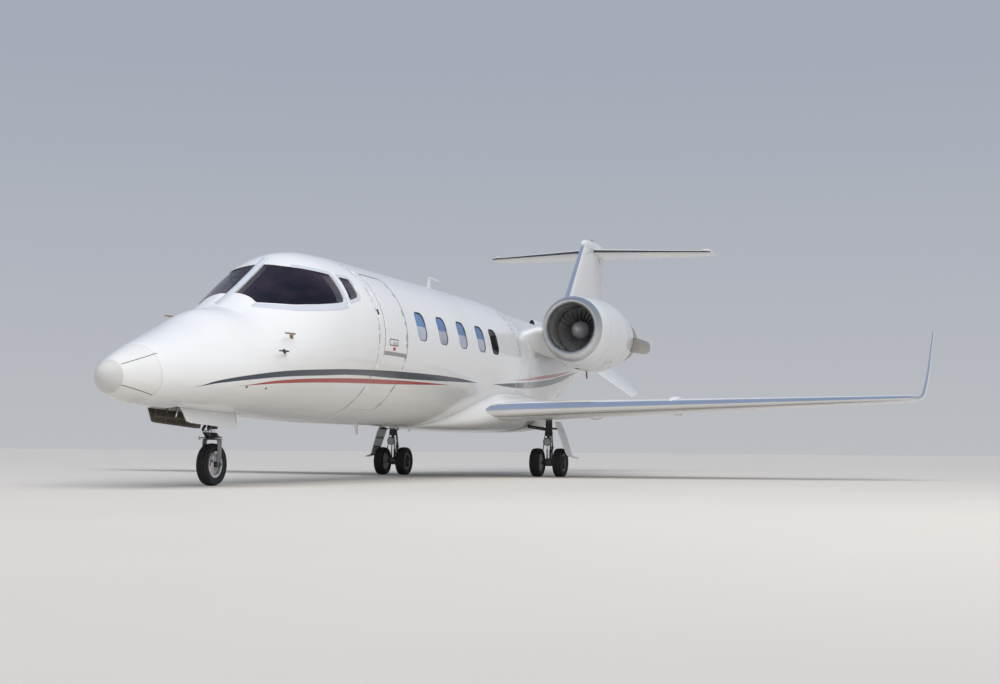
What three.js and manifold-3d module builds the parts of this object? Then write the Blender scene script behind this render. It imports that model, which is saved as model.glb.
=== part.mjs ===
// A twin-engined business jet with a T-tail, winglets and a clamshell cabin door, parked on its gear.
// Millimetres, +Z up, nose towards -Y, +X to port. Stations are measured aft from the tip of the nose.
import * as THREE from 'three';
import { mergeVertices } from 'three/addons/utils/BufferGeometryUtils.js';
import Module from 'manifold-3d';

const wasm = await Module();
wasm.setup();

// Driving dimensions
const LENGTH = 17880;
const NOSE_TIP_Z = 1050;
const HULL_RADIUS = 985;
const HULL_AXIS_Z = 1675;
const WALL = 80;
const AFT_WALL = 34;
const SEAM = 0.3;
const GAP = 8;
const RING_SIDES = 28;
const INNER_SIDES = 20;

const RADOME_END = 520;
const FRONT_END = 4100;
const CABIN_END = 9250;
const TAIL_END = 17000;
const COCKPIT_START = 2400;
const FLOOR_Z = 1000;
const FLOOR_THICKNESS = 50;

const WING_ROOT_X = 860;
const WING_TIP_X = 6450;
const WING_LE_ROOT = 8387;
const WING_LE_TIP = 10150;
const WING_CHORD_ROOT = 2500;
const WING_CHORD_TIP = 1110;
const WING_Z_ROOT = 950;
const WING_Z_TIP = 1165;
const WING_DEPTH_ROOT = 0.12;
const WING_DEPTH_TIP = 0.095;

const MAIN_STATION = 9762;
const MAIN_TRACK_X = 1255;
const TWIN_OFFSET = 178;
const MAIN_TYRE_RADIUS = 212;
const MAIN_TYRE_WIDTH = 146;
const NOSE_STATION = 2042;
const NOSE_TYRE_RADIUS = 220;
const NOSE_TYRE_WIDTH = 112;

const ENGINE_X = 1349;
const ENGINE_Z = 2290;
const LIP_FRONT = 10450;
const LIP_BACK = 10590;
const NACELLE_BACK = 12900;
const REVERSER_BACK = 13620;
const FAN_STATION = 11120;
const POD_TOE = 99;
const FAN_RADIUS = 372;
const FAN_BLADES = 12;

const DOOR_FRONT = 4260;
const DOOR_BACK = 4900;
const DOOR_MIDDLE = (DOOR_FRONT + DOOR_BACK) / 2;
const DOOR_BOTTOM = 860;
const DOOR_SPLIT = 1490;
const DOOR_TOP = 2430;

const aircraft = new THREE.Group();
aircraft.position.y = -LENGTH / 2;

// Paints and materials
const paint = (color, roughness, metalness) => ({ color, roughness, metalness });
const WHITE = paint(0xf1efec, 0.22, 0);
const GREY_CAP = paint(0xd5d2cb, 0.35, 0);
const BARE_METAL = paint(0xc9ccd0, 0.22, 1);
const DARK_METAL = paint(0x2b2b2d, 0.5, 0.6);
const WARM_METAL = paint(0xb5ac9c, 0.4, 0.8);
const LEG_GREY = paint(0x8d8f91, 0.4, 0.5);
const RUBBER = paint(0x17171a, 0.85, 0);
const TINTED = paint(0x2a1d26, 0.08, 0);
const PALE_GLASS = paint(0xb9c4d2, 0.1, 0);
const CARPET = paint(0xa78f74, 0.9, 0);
const PANEL = paint(0x1f2024, 0.7, 0);

const V = (x, y, z) => new THREE.Vector3(x, y, z);
const lerp = THREE.MathUtils.lerp;
const rad = THREE.MathUtils.degToRad;

// A closed solid from a geometry, turned outside out where its faces point in
function solid(geometry, matrix) {
  const g = geometry.index ? geometry.toNonIndexed() : geometry.clone();
  if (matrix) g.applyMatrix4(matrix);
  for (const name of Object.keys(g.attributes)) {
    if (name !== 'position') g.deleteAttribute(name);
  }
  const merged = mergeVertices(g, 1e-3);
  const p = merged.attributes.position;
  const source = merged.index.array;
  const faces = [];
  let volume = 0;
  for (let i = 0; i < source.length; i += 3) {
    const [a, b, c] = [source[i], source[i + 1], source[i + 2]];
    if (a === b || b === c || c === a) continue;
    const [pa, pb, pc] = [a, b, c].map((k) => new THREE.Vector3().fromBufferAttribute(p, k));
    volume += pa.dot(pb.cross(pc));
    faces.push([a, b, c]);
  }
  const triVerts = Uint32Array.from(faces.flatMap((f) => (volume < 0 ? [f[0], f[2], f[1]] : f)));
  const vertProperties = Float32Array.from(p.array);
  return new wasm.Manifold(new wasm.Mesh({ numProp: 3, vertProperties, triVerts }));
}

const join = (...parts) => parts.flat().reduce((a, b) => a.add(b));
const cut = (body, ...tools) => tools.flat().reduce((a, b) => a.subtract(b), body);
const common = (a, b) => a.intersect(b);

function add(name, body, look) {
  const m = body.getMesh();
  const g = new THREE.BufferGeometry();
  const stride = m.numProp;
  const points = new Float32Array((m.vertProperties.length / stride) * 3);
  for (let i = 0; i < points.length / 3; i += 1) {
    points.set(m.vertProperties.subarray(i * stride, i * stride + 3), i * 3);
  }
  g.setAttribute('position', new THREE.BufferAttribute(points, 3));
  g.setIndex(Array.from(m.triVerts));
  g.computeVertexNormals();
  const mesh = new THREE.Mesh(g, new THREE.MeshStandardMaterial(look));
  mesh.name = name;
  aircraft.add(mesh);
  return mesh;
}

// A closed skin over rings of equal length, capped at both ends on a middle point.
// Its faces are split the mirrored way on the starboard side, so both sides match.
function loft(rings, first, last) {
  const middle = (ring) => ring.reduce((s, p) => s.add(p), V(0, 0, 0)).divideScalar(ring.length);
  const start = first ?? middle(rings[0]);
  const end = last ?? middle(rings[rings.length - 1]);
  const points = [];
  const n = rings[0].length;
  const push = (...corners) => corners.forEach((c) => points.push(c.x, c.y, c.z));
  for (let i = 0; i < n; i += 1) {
    const j = (i + 1) % n;
    push(start, rings[0][j], rings[0][i]);
    push(end, rings[rings.length - 1][i], rings[rings.length - 1][j]);
    for (let r = 0; r + 1 < rings.length; r += 1) {
      const [a, b, c, d] = [rings[r][i], rings[r][j], rings[r + 1][j], rings[r + 1][i]];
      if (a.x + b.x + c.x + d.x < 0) {
        push(a, b, d);
        push(b, c, d);
      } else {
        push(a, b, c);
        push(a, c, d);
      }
    }
  }
  const g = new THREE.BufferGeometry();
  g.setAttribute('position', new THREE.Float32BufferAttribute(points, 3));
  return solid(g);
}

function box(x0, x1, y0, y1, z0, z1) {
  const g = new THREE.BoxGeometry(x1 - x0, y1 - y0, z1 - z0);
  return solid(g, new THREE.Matrix4().makeTranslation((x0 + x1) / 2, (y0 + y1) / 2, (z0 + z1) / 2));
}

// A round bar from a to b
function bar(a, b, radius, sides = 8) {
  const along = b.clone().sub(a);
  const g = new THREE.CylinderGeometry(radius, radius, along.length(), sides);
  const turn = new THREE.Quaternion().setFromUnitVectors(V(0, 1, 0), along.clone().normalize());
  const middle = a.clone().add(b).multiplyScalar(0.5);
  return solid(g, new THREE.Matrix4().compose(middle, turn, V(1, 1, 1)));
}

// A pin that turns in a bore: the bore's flats clear the pin's corners by the seam
const pin = (a, b, radius, sides = 24) => bar(a, b, radius, sides);
const boreFor = (a, b, radius, sides = 24) => bar(a, b, (radius + SEAM) / Math.cos(Math.PI / sides), sides);

// A flat beam of rectangular section from a to b, with its wide side along the given direction
function beam(a, b, width, depth, wide) {
  const along = b.clone().sub(a);
  const up = along.clone().normalize();
  const side = wide.clone().addScaledVector(up, -wide.dot(up)).normalize();
  const frame = new THREE.Matrix4().makeBasis(side, up, side.clone().cross(up));
  frame.setPosition(a.clone().add(b).multiplyScalar(0.5));
  return solid(new THREE.BoxGeometry(width, along.length(), depth), frame);
}

// A turned piece: profile rows are [radius, distance along the axis]; the axis runs aft or outwards
function turned(profile, origin, axis, sides, phase = 0) {
  const g = new THREE.LatheGeometry(profile.map(([r, t]) => new THREE.Vector2(r, t)), sides, phase);
  const turn = new THREE.Quaternion().setFromUnitVectors(V(0, 1, 0), axis);
  return solid(g, new THREE.Matrix4().compose(origin, turn, V(1, 1, 1)));
}

// Port and starboard: a piece and its mirror image
const mirrored = (body) => body.mirror([1, 0, 0]);

// Hull sections: station, half width, bottom, top, height of the widest point, and how full the
// shoulders are: 2 is an ellipse, and less is flatter, as beside the windshields
const HULL = [
  [20, 62, 980, 1116, NOSE_TIP_Z, 2],
  [60, 105, 932, 1156, 1046, 2],
  [140, 160, 884, 1202, 1038, 2],
  [300, 238, 840, 1278, 1032, 2],
  [RADOME_END, 328, 806, 1368, 1038, 2],
  [900, 462, 774, 1500, 1062, 2],
  [1300, 592, 756, 1650, 1105, 1.88],
  [1700, 688, 745, 1808, 1165, 1.8],
  [2000, 750, 739, 1858, 1225, 1.8],
  [2400, 820, 732, 2052, 1330, 1.8],
  [2850, 884, 720, 2320, 1440, 1.9],
  [3300, 934, 706, 2575, 1545, 1.92],
  [3700, 964, 697, 2639, 1615, 1.93],
  [FRONT_END, 982, 691, 2648, 1668, 2],
  [4500, HULL_RADIUS, 690, 2646, HULL_AXIS_Z, 2],
  [CABIN_END, HULL_RADIUS, 690, 2622, HULL_AXIS_Z, 2],
  [9750, 935, 690, 2600, 1690, 2],
  [10300, 795, 694, 2582, 1715, 2],
  [10900, 690, 725, 2564, 1745, 2],
  [11600, 640, 810, 2546, 1775, 2],
  [12400, 600, 1000, 2528, 1840, 2],
  [13200, 552, 1218, 2514, 1910, 2],
  [14400, 455, 1545, 2492, 2035, 2],
  [15600, 330, 1870, 2456, 2170, 2],
  [16500, 212, 2108, 2425, 2268, 2],
  [TAIL_END, 90, 2262, 2402, 2330, 2],
];

// The hull's measures at a station, straight between the rows
function hullAt(station) {
  let i = 0;
  while (i < HULL.length - 2 && HULL[i + 1][0] < station) i += 1;
  const t = (station - HULL[i][0]) / (HULL[i + 1][0] - HULL[i][0]);
  const row = HULL[i].map((value, k) => lerp(value, HULL[i + 1][k], t));
  const [, halfWidth, bottom, top, widest, full] = row;
  return { halfWidth, bottom, top, widest, full };
}

// One ring of the hull, moved inwards by the inset
function hullRing(station, inset = 0) {
  const sides = inset < AFT_WALL ? RING_SIDES : INNER_SIDES;
  const { halfWidth, bottom, top, widest, full } = hullAt(station);
  return Array.from({ length: sides }, (_, i) => {
    const angle = (i / sides) * 2 * Math.PI;
    const power = angle < Math.PI ? 2 / full : 1;
    const c = Math.sign(Math.cos(angle)) * Math.abs(Math.cos(angle)) ** power;
    const s = Math.sign(Math.sin(angle)) * Math.abs(Math.sin(angle)) ** power;
    const height = s > 0 ? top - widest - inset : widest - bottom - inset;
    return V((halfWidth - inset) * c, station, widest + height * s);
  });
}

function hullBody(from, to, inset = 0, first, last) {
  const stations = [from, ...HULL.map((row) => row[0]).filter((y) => y > from + 1 && y < to - 1), to];
  return loft(stations.map((y) => hullRing(y, inset)), first, last);
}

// A tube of hull wall, open at both ends
const hullShell = (from, to, wall) => cut(hullBody(from, to), hullBody(from - 30, to + 30, wall));

// A prism with a rounded outline, standing across the hull from x0 to x1; corners are [station, height]
function sidePrism(corners, x0, x1, radius, steps = 2) {
  const shape = new THREE.Shape();
  const n = corners.length;
  corners.forEach(([y, z], i) => {
    const [py, pz] = corners[(i + n - 1) % n];
    const [ny, nz] = corners[(i + 1) % n];
    const before = new THREE.Vector2(py - y, pz - z).normalize().multiplyScalar(radius);
    const after = new THREE.Vector2(ny - y, nz - z).normalize().multiplyScalar(radius);
    if (i === 0) shape.moveTo(y + before.x, z + before.y);
    else shape.lineTo(y + before.x, z + before.y);
    shape.quadraticCurveTo(y, z, y + after.x, z + after.y);
  });
  shape.closePath();
  const g = new THREE.ExtrudeGeometry(shape, { depth: x1 - x0, bevelEnabled: false, curveSegments: steps });
  const frame = new THREE.Matrix4().makeBasis(V(0, 1, 0), V(0, 0, 1), V(1, 0, 0));
  frame.setPosition(x0, 0, 0);
  return solid(g, frame);
}

// Windows: outlines as [station, height], seen from the side
const WINDSHIELD = [
  [2100, 1925], [2100, 2060], [2960, 2470], [3020, 2400], [3244, 2361],
  [3483, 2338], [3437, 2025], [3310, 1998], [2980, 1955], [2640, 1923],
];
const SIDE_WINDOW = [[3612, 2330], [3823, 2317], [3788, 2110], [3556, 2049]];
const CABIN_WINDOW_WIDTH = 320;
const CABIN_WINDOW_BOTTOM = 1720;
const CABIN_WINDOW_TOP = 2080;
const CABIN_WINDOWS = [5410, 6130, 6850, 7570, 8130];
const EXTRA_WINDOW_STARBOARD = 4690;
const GLASS_DEPTH = 14;
const GLASS_THICKNESS = 16;
// Half the width of the centre post between the windshields
const POST_HALF = 45;

function cabinWindowOutline(middle, grow = 0) {
  const half = CABIN_WINDOW_WIDTH / 2 + grow;
  const low = CABIN_WINDOW_BOTTOM - grow;
  const high = CABIN_WINDOW_TOP + grow;
  return [[middle - half, low], [middle + half, low], [middle + half, high], [middle - half, high]];
}

const starboardWindows = [EXTRA_WINDOW_STARBOARD, ...CABIN_WINDOWS];
const windowHole = (middle) => sidePrism(cabinWindowOutline(middle), 600, 1100, 110);
const cabinHoles = CABIN_WINDOWS.map(windowHole);
const cabinHolesStarboard = starboardWindows.map((middle) => mirrored(windowHole(middle)));

// The room outboard of the centre post
const besidePost = (grow) => box(POST_HALF + grow, 1200, 1900, 3800, 1700, 2700);

const screenHole = common(sidePrism(WINDSHIELD, 0, 1100, 40), besidePost(0));
const sideHole = sidePrism(SIDE_WINDOW, 500, 1100, 40);

// Radome and hull shells
const AFT_HOLLOW_STATIONS = [CABIN_END + 40, 10900, 12400, 14400, 16500];
const VALVE_Z = 1250;
const VALVE_RADIUS = 60;

function buildHull() {
  const radome = hullBody(20, RADOME_END - SEAM, 0, V(0, 0, NOSE_TIP_Z));
  add('radome', radome, GREY_CAP);

  const cockpit = hullBody(COCKPIT_START, FRONT_END + 30, WALL);
  const bay = box(-NOSE_BAY_HALF, NOSE_BAY_HALF, NOSE_BAY_FRONT, NOSE_BAY_BACK, 500, NOSE_BAY_TOP);
  const front = cut(
    hullBody(RADOME_END, FRONT_END - SEAM),
    cockpit, bay, screenHole, mirrored(screenHole), sideHole, mirrored(sideHole),
  );
  const padStation = NOSE_JACK.station;
  const nosePad = box(-30, 30, padStation - 30, padStation + 30, NOSE_JACK.z, NOSE_JACK.z + 40);
  add('fuselage_front', join(front, nosePad), WHITE);

  const cabin = cut(
    hullShell(FRONT_END, CABIN_END - SEAM, WALL),
    cabinHoles, cabinHolesStarboard, doorWay(GAP), doorHingeRelief(),
  );
  add('fuselage_cabin', join(cabin, doorHingeFixed()), WHITE);

  const hollow = loft(AFT_HOLLOW_STATIONS.map((y) => hullRing(y, AFT_WALL)));
  const tailShell = cut(hullBody(CABIN_END, TAIL_END), hollow);
  const valve = bar(V(0, CABIN_END - 50, VALVE_Z), V(0, CABIN_END + 90, VALVE_Z), VALVE_RADIUS);
  add('fuselage_aft', cut(tailShell, valve), WHITE);
}

const NOSE_BAY_HALF = 190;
const NOSE_BAY_FRONT = 1010;
const NOSE_BAY_BACK = 2180;
const NOSE_BAY_TOP = 1080;

// Clamshell door: both halves are cut from the cabin wall
const HINGE_RADIUS = 10;
const hingeHeight = { upper: DOOR_TOP, lower: DOOR_BOTTOM };
const hingeX = (z) => {
  const { halfWidth, bottom, top, widest } = hullAt(DOOR_MIDDLE);
  const height = z > widest ? top - widest : widest - bottom;
  return halfWidth * Math.sqrt(1 - ((z - widest) / height) ** 2);
};
const HINGE_STATIONS = [DOOR_FRONT + 110, DOOR_BACK - 110];
const KNUCKLE = 40;

// The doorway's lower edge is square to the skin, so that the door's foot swings clear of the floor.
// This is all that lies below that edge, lowered by the drop.
function belowFoot(drop) {
  const foot = V(hingeX(DOOR_BOTTOM), DOOR_MIDDLE, DOOR_BOTTOM);
  const out = V(foot.x, 0, DOOR_BOTTOM - HULL_AXIS_Z).normalize();
  const down = V(out.z, 0, -out.x);
  const below = (distance) => foot.clone().addScaledVector(down, distance);
  return beam(below(drop), below(500), 1000, 800, V(0, 1, 0));
}

function doorWay(grow = 0) {
  const low = HULL_AXIS_Z - HULL_RADIUS;
  const opening = box(300, 1200, DOOR_FRONT - grow, DOOR_BACK + grow, low, DOOR_TOP + grow);
  return cut(opening, belowFoot(grow));
}

function doorHinge(moving, height, grow = 0) {
  const x = hingeX(height);
  return HINGE_STATIONS.map((y) => {
    const start = moving ? y : y + KNUCKLE + SEAM;
    return bar(V(x, start - grow, height), V(x, start + KNUCKLE + grow, height), HINGE_RADIUS + grow);
  });
}

const hingeHeights = Object.values(hingeHeight);
const doorHingeRelief = () => hingeHeights.map((z) => doorHinge(true, z, GAP)).flat();

// Fixed knuckles beside the moving ones, each on a short arm from the door frame
function doorHingeFixed() {
  const arms = hingeHeights.flatMap((z) => HINGE_STATIONS.map((y) => {
    const away = z > HULL_AXIS_Z ? 1 : -1;
    const start = y + KNUCKLE + SEAM;
    const [low, high] = [z + 6 * away, z + 22 * away].sort((a, b) => a - b);
    return box(hingeX(z) - 60, hingeX(z) + 6, start, start + KNUCKLE, low, high);
  }));
  return [...arms, ...hingeHeights.flatMap((z) => doorHinge(false, z))];
}

function buildDoors() {
  const wall = hullShell(DOOR_FRONT - 50, DOOR_BACK + 50, WALL);
  const fixedRelief = hingeHeights.map((z) => doorHinge(false, z, GAP)).flat();
  const half = (low, high) => box(300, 1200, DOOR_FRONT, DOOR_BACK, low, high);
  const upper = cut(common(wall, half(DOOR_SPLIT + GAP / 2, DOOR_TOP)), fixedRelief);
  const lowerHalf = half(HULL_AXIS_Z - HULL_RADIUS, DOOR_SPLIT - GAP / 2);
  const lower = cut(common(wall, lowerHalf), belowFoot(0), fixedRelief);
  add('door_upper', join(upper, doorHinge(true, DOOR_TOP)), WHITE);
  const steps = [1060, 1290].map((z) => box(560, 880, DOOR_FRONT + 60, DOOR_BACK - 60, z, z + 30));
  const treads = common(join(steps), hullBody(DOOR_FRONT, DOOR_BACK, WALL - 10));
  add('door_lower', join(lower, doorHinge(true, DOOR_BOTTOM), treads), WHITE);
}

// Glass: panes set just below the outer skin
function buildGlass() {
  const inside = hullBody(1790, 3910, GLASS_DEPTH + GLASS_THICKNESS);
  const nose = cut(hullBody(1800, 3900, GLASS_DEPTH), inside);
  const seatedScreen = common(sidePrism(shrink(WINDSHIELD, SEAM), 0, 1100, 40), besidePost(SEAM));
  const seatedSide = sidePrism(shrink(SIDE_WINDOW, SEAM), 500, 1100, 40);
  const screen = common(nose, seatedScreen);
  const side = common(nose, seatedSide);
  add('windshield_left', screen, TINTED);
  add('windshield_right', mirrored(screen), TINTED);
  add('side_window_left', side, TINTED);
  add('side_window_right', mirrored(side), TINTED);
  const strip = (middles) => {
    const first = Math.min(...middles) - CABIN_WINDOW_WIDTH / 2 - 20;
    const last = Math.max(...middles) + CABIN_WINDOW_WIDTH / 2 + 20;
    const layer = (outer, inner) => cut(
      hullBody(first - 50, last + 50, outer),
      hullBody(first - 80, last + 80, inner),
    );
    const filling = layer(GLASS_DEPTH, WALL + 6);
    const seated = (y) => sidePrism(cabinWindowOutline(y, -SEAM), 600, 1100, 110);
    const panes = middles.map((y) => common(filling, seated(y)));
    const tube = layer(WALL + 3 * SEAM, WALL + 12);
    const band = common(tube, box(500, 1100, first, last, CABIN_WINDOW_BOTTOM - 20, CABIN_WINDOW_TOP + 20));
    return join(panes, band);
  };
  add('cabin_windows_left', strip(CABIN_WINDOWS), PALE_GLASS);
  add('cabin_windows_right', mirrored(strip(starboardWindows)), PALE_GLASS);
}

// The outline moved inwards on every side, by scaling about its middle
function shrink(corners, by) {
  const middle = [0, 1].map((k) => corners.reduce((s, c) => s + c[k], 0) / corners.length);
  return corners.map(([y, z]) => {
    const away = new THREE.Vector2(y - middle[0], z - middle[1]);
    const scale = 1 - (2 * by) / away.length();
    return [middle[0] + away.x * scale, middle[1] + away.y * scale];
  });
}

// Wing sections: a symmetrical section with a rounded nose, thickest at a third of its chord
const SECTION = [[0, 0], [0.015, 0.22], [0.07, 0.39], [0.2, 0.49], [0.42, 0.48], [0.75, 0.27], [1, 0.012]];

// One section ring through the point at, with its chord along Y, its thickness along the given up, and
// its trailing edge raised by the rise
function section(at, chord, depth, up, grow = 0, rise = 0) {
  const along = (t) => at.clone().add(V(0, t * chord, t * rise));
  const upper = SECTION.map(([t, h]) => along(t).addScaledVector(up, h * depth * chord + grow));
  const belowLine = ([t, h]) => along(t).addScaledVector(up, -h * depth * chord - grow);
  const lower = SECTION.slice(1).reverse().map(belowLine);
  return [...upper, ...lower];
}

const wingShare = (x) => (x - WING_ROOT_X) / (WING_TIP_X - WING_ROOT_X);
function wingStation(x) {
  const t = wingShare(x);
  return {
    front: lerp(WING_LE_ROOT, WING_LE_TIP, t),
    chord: lerp(WING_CHORD_ROOT, WING_CHORD_TIP, t),
    z: lerp(WING_Z_ROOT, WING_Z_TIP, t),
    depth: lerp(WING_DEPTH_ROOT, WING_DEPTH_TIP, t),
  };
}

function wingRing(x, grow = 0) {
  const s = wingStation(x);
  return section(V(x, s.front - grow, s.z), s.chord + grow, s.depth, V(0, 0, 1), grow);
}

// The plank of wing between two places along the span, for the movable surfaces
const wingPlank = (x0, x1, grow = 0) => loft([wingRing(x0, grow), wingRing(x1, grow)]);

// Winglet sections from the tip bend upwards: x, leading edge, z, chord, lean from upright in degrees
const WINGLET = [
  [6450, 10165, 1166, 1080, 90],
  [6530, 10380, 1176, 900, 62],
  [6572, 10600, 1215, 780, 30],
  [6590, 10750, 1280, 720, 12],
  [6671, 11790, 2231, 300, 8],
];

function buildWinglet() {
  const rings = WINGLET.map(([x, front, z, chord, lean]) => {
    const a = rad(90 - lean);
    return section(V(x, front, z), chord, 0.085, V(-Math.sin(a), 0, Math.cos(a)));
  });
  return loft([wingRing(WING_TIP_X - 60), wingRing(WING_TIP_X - 5), ...rings.slice(1)]);
}

// Movable surfaces on a wing: from, to, hinge as a share of the chord
const FLAP = { from: 1110, to: 3900, hinge: 0.76 };
const AILERON = { from: 4010, to: 5900, hinge: 0.74 };
const SPOILER = { from: 1750, to: 3250, front: 0.62, back: 0.71 };
const PIN_RADIUS = 12;
const PIN_SIDES = 12;
const PIN_REACH = 34;
const COVE_SIDES = 16;

function wingHinge(part) {
  const at = (x) => {
    const s = wingStation(x);
    return V(x, s.front + part.hinge * s.chord, s.z);
  };
  const a = at(part.from);
  const b = at(part.to);
  return { a, b, along: b.clone().sub(a).normalize() };
}

// The space behind a hinge line: a round nose about the line and all that is aft of it
function behind(a, b, radius, ends, sides = 8) {
  const reach = 1200;
  const tall = 700;
  const along = b.clone().sub(a).normalize();
  const from = a.clone().addScaledVector(along, -ends);
  const to = b.clone().addScaledVector(along, ends);
  const aft = V(0, 1, 0).addScaledVector(along, -along.y).normalize();
  const up = along.clone().cross(aft).normalize();
  const frame = new THREE.Matrix4().makeBasis(along, aft, up);
  const middle = from.clone().add(to).multiplyScalar(0.5).addScaledVector(aft, reach / 2);
  frame.setPosition(middle);
  const slab = solid(new THREE.BoxGeometry(from.distanceTo(to), reach, tall), frame);
  return join(slab, bar(from, to, radius, sides));
}

function surface(owner, a, b, radiusAtA) {
  const along = b.clone().sub(a).normalize();
  const moving = common(owner, behind(a, b, radiusAtA, 0));
  const reach = GAP + PIN_REACH;
  const past = (end, distance) => end.clone().addScaledVector(along, distance);
  const pins = [
    pin(past(a, 60), past(a, -reach), PIN_RADIUS, PIN_SIDES),
    pin(past(b, -60), past(b, reach), PIN_RADIUS, PIN_SIDES),
  ];
  const cove = behind(a, b, radiusAtA + GAP, GAP, COVE_SIDES);
  const bores = [
    boreFor(a.clone(), a.clone().addScaledVector(along, -reach - SEAM), PIN_RADIUS, PIN_SIDES),
    boreFor(b.clone(), b.clone().addScaledVector(along, reach + SEAM), PIN_RADIUS, PIN_SIDES),
  ];
  return { moving: join(moving, pins), cove: join(cove, bores) };
}

function halfDepthAt(part, x) {
  const s = wingStation(x);
  const i = SECTION.findIndex(([t]) => t >= part.hinge);
  const [t0, h0] = SECTION[i - 1];
  const [t1, h1] = SECTION[i];
  return lerp(h0, h1, (part.hinge - t0) / (t1 - t0)) * s.depth * s.chord;
}

// Jacking pads: one under each wing and one under the nose
const JACK_X = 2000;
const JACK_STATION = 9680;
const JACK_Z = 862;
const NOSE_JACK = { station: 2600, z: 718 };

const LEG_SLOT = { x0: 1150, x1: 1360, y0: 9640, y1: 9890, top: 905 };

function buildWing() {
  const panel = join(
    loft([wingRing(WING_ROOT_X), wingRing(WING_TIP_X - 40)]),
    buildWinglet(),
  );
  const flapHinge = wingHinge(FLAP);
  const flap = surface(panel, flapHinge.a, flapHinge.b, halfDepthAt(FLAP, FLAP.from));
  const aileronHinge = wingHinge(AILERON);
  const aileron = surface(panel, aileronHinge.a, aileronHinge.b, halfDepthAt(AILERON, AILERON.from));

  const slot = box(LEG_SLOT.x0, LEG_SLOT.x1, LEG_SLOT.y0, LEG_SLOT.y1, 400, LEG_SLOT.top);
  const spoiler = buildSpoiler(panel);
  const pad = box(JACK_X - 30, JACK_X + 30, JACK_STATION - 30, JACK_STATION + 30, JACK_Z, JACK_Z + 50);
  const wing = join(cut(panel, flap.cove, aileron.cove, slot, spoiler.pocket), pad);
  for (const [side, turn] of [['left', (m) => m], ['right', mirrored]]) {
    add(`wing_${side}`, turn(wing), WHITE);
    add(`flap_${side}`, turn(flap.moving), WHITE);
    add(`aileron_${side}`, turn(aileron.moving), WHITE);
    add(`spoiler_${side}`, turn(spoiler.plate), WHITE);
  }
}

// The spoiler is a thin plate let into the top of the wing, hinged along its front edge
const SPOILER_DEPTH = 14;
const SPOILER_PIN = 5;
function spoilerLine() {
  const at = (x) => {
    const s = wingStation(x);
    const part = { hinge: SPOILER.front };
    return V(x, s.front + SPOILER.front * s.chord, s.z + halfDepthAt(part, x) - SPOILER_DEPTH / 2);
  };
  return { a: at(SPOILER.from), b: at(SPOILER.to) };
}

function buildSpoiler(panel) {
  const { a, b } = spoilerLine();
  const at = (x, share, drop) => {
    const s = wingStation(x);
    return V(x, s.front + share * s.chord, s.z + halfDepthAt({ hinge: share }, x) - drop);
  };
  const slab = (ends, low, high, aheadBy, aftBy) => {
    const ring = (x) => [
      at(x, SPOILER.front, low).add(V(0, -aheadBy, 0)), at(x, SPOILER.back, low).add(V(0, aftBy, 0)),
      at(x, SPOILER.back, high).add(V(0, aftBy, 0)), at(x, SPOILER.front, high).add(V(0, -aheadBy, 0)),
    ];
    return loft([ring(SPOILER.from - ends), ring(SPOILER.to + ends)]);
  };
  const plate = common(panel, slab(0, SPOILER_DEPTH, -40, 0, 0));
  const along = b.clone().sub(a).normalize();
  const reach = GAP + 20;
  const past = (end, distance) => end.clone().addScaledVector(along, distance).add(V(0, 6, 0));
  const pins = [
    bar(past(a, 40), past(a, -reach), SPOILER_PIN),
    bar(past(b, -40), past(b, reach), SPOILER_PIN),
  ];
  const bores = [
    bar(past(a, 0), past(a, -reach - SEAM), SPOILER_PIN + 0.5),
    bar(past(b, 0), past(b, reach + SEAM), SPOILER_PIN + 0.5),
  ];
  return {
    plate: join(plate, pins),
    pocket: join(slab(GAP, SPOILER_DEPTH + GAP, -60, GAP + 4, GAP), bores),
  };
}

// The fairing between hull and wing: station, half width, bottom, top
const FAIRING = [
  [7150, 300, 684, 760],
  [7600, 640, 668, 960],
  [8150, 930, 655, 1180],
  [8700, 1030, 650, 1290],
  [9700, 1040, 650, 1300],
  [10500, 1000, 655, 1270],
  [11150, 860, 680, 1160],
  [11700, 600, 760, 1010],
  [12050, 330, 880, 960],
];
const FAIRING_SIDES = 16;

function fairingRing([station, halfWidth, bottom, top]) {
  const middle = (bottom + top) / 2;
  return Array.from({ length: FAIRING_SIDES }, (_, i) => {
    const a = (i / FAIRING_SIDES) * 2 * Math.PI;
    const c = Math.cos(a);
    const s = Math.sin(a);
    const square = (v) => Math.sign(v) * Math.abs(v) ** 0.7;
    return V(halfWidth * square(c), station, middle + ((top - bottom) / 2) * square(s));
  });
}

function buildFairing() {
  const raw = loft(FAIRING.map(fairingRing));
  const socket = loft([wingRing(WING_ROOT_X - SEAM, SEAM), wingRing(WING_TIP_X - 40, SEAM)]);
  const bay = box(540, LEG_SLOT.x1, LEG_SLOT.y0, LEG_SLOT.y1, 400, LEG_SLOT.top - 60);
  const hull = hullBody(FAIRING[0][0] - 200, 12600, -SEAM);
  const body = cut(raw, hull, socket, mirrored(socket), bay, mirrored(bay));
  add('belly_fairing', body, WHITE);
}

// Fin, rudder, tailplane and elevators
const FIN_ROOT = { front: 14020, back: 17090, z: 2380, depth: 0.075 };
const FIN_TOP = { front: 15900, back: 17400, z: 4330, depth: 0.09 };
const finRing = (end, grow = 0) => section(
  V(0, end.front - grow, end.z), end.back - end.front + grow, end.depth, V(1, 0, 0), grow,
);
const DORSAL = [[13300, 2530], [14060, 2640], [14330, 2760], [14560, 3000]];
const RUDDER = { low: V(0, 16330, 2560), high: V(0, 16900, 4120) };
const RUDDER_BOTTOM_Z = 2520;
const TAILPLANE_Z = 4262;
const TAIL_ROOT = { front: 16400, chord: 1400, depth: 0.1 };
const TAIL_TIP = { x: 2240, front: 17085, chord: 795, depth: 0.085 };
const ELEVATOR = { from: 190, to: 2120, hinge: 0.66 };

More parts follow.
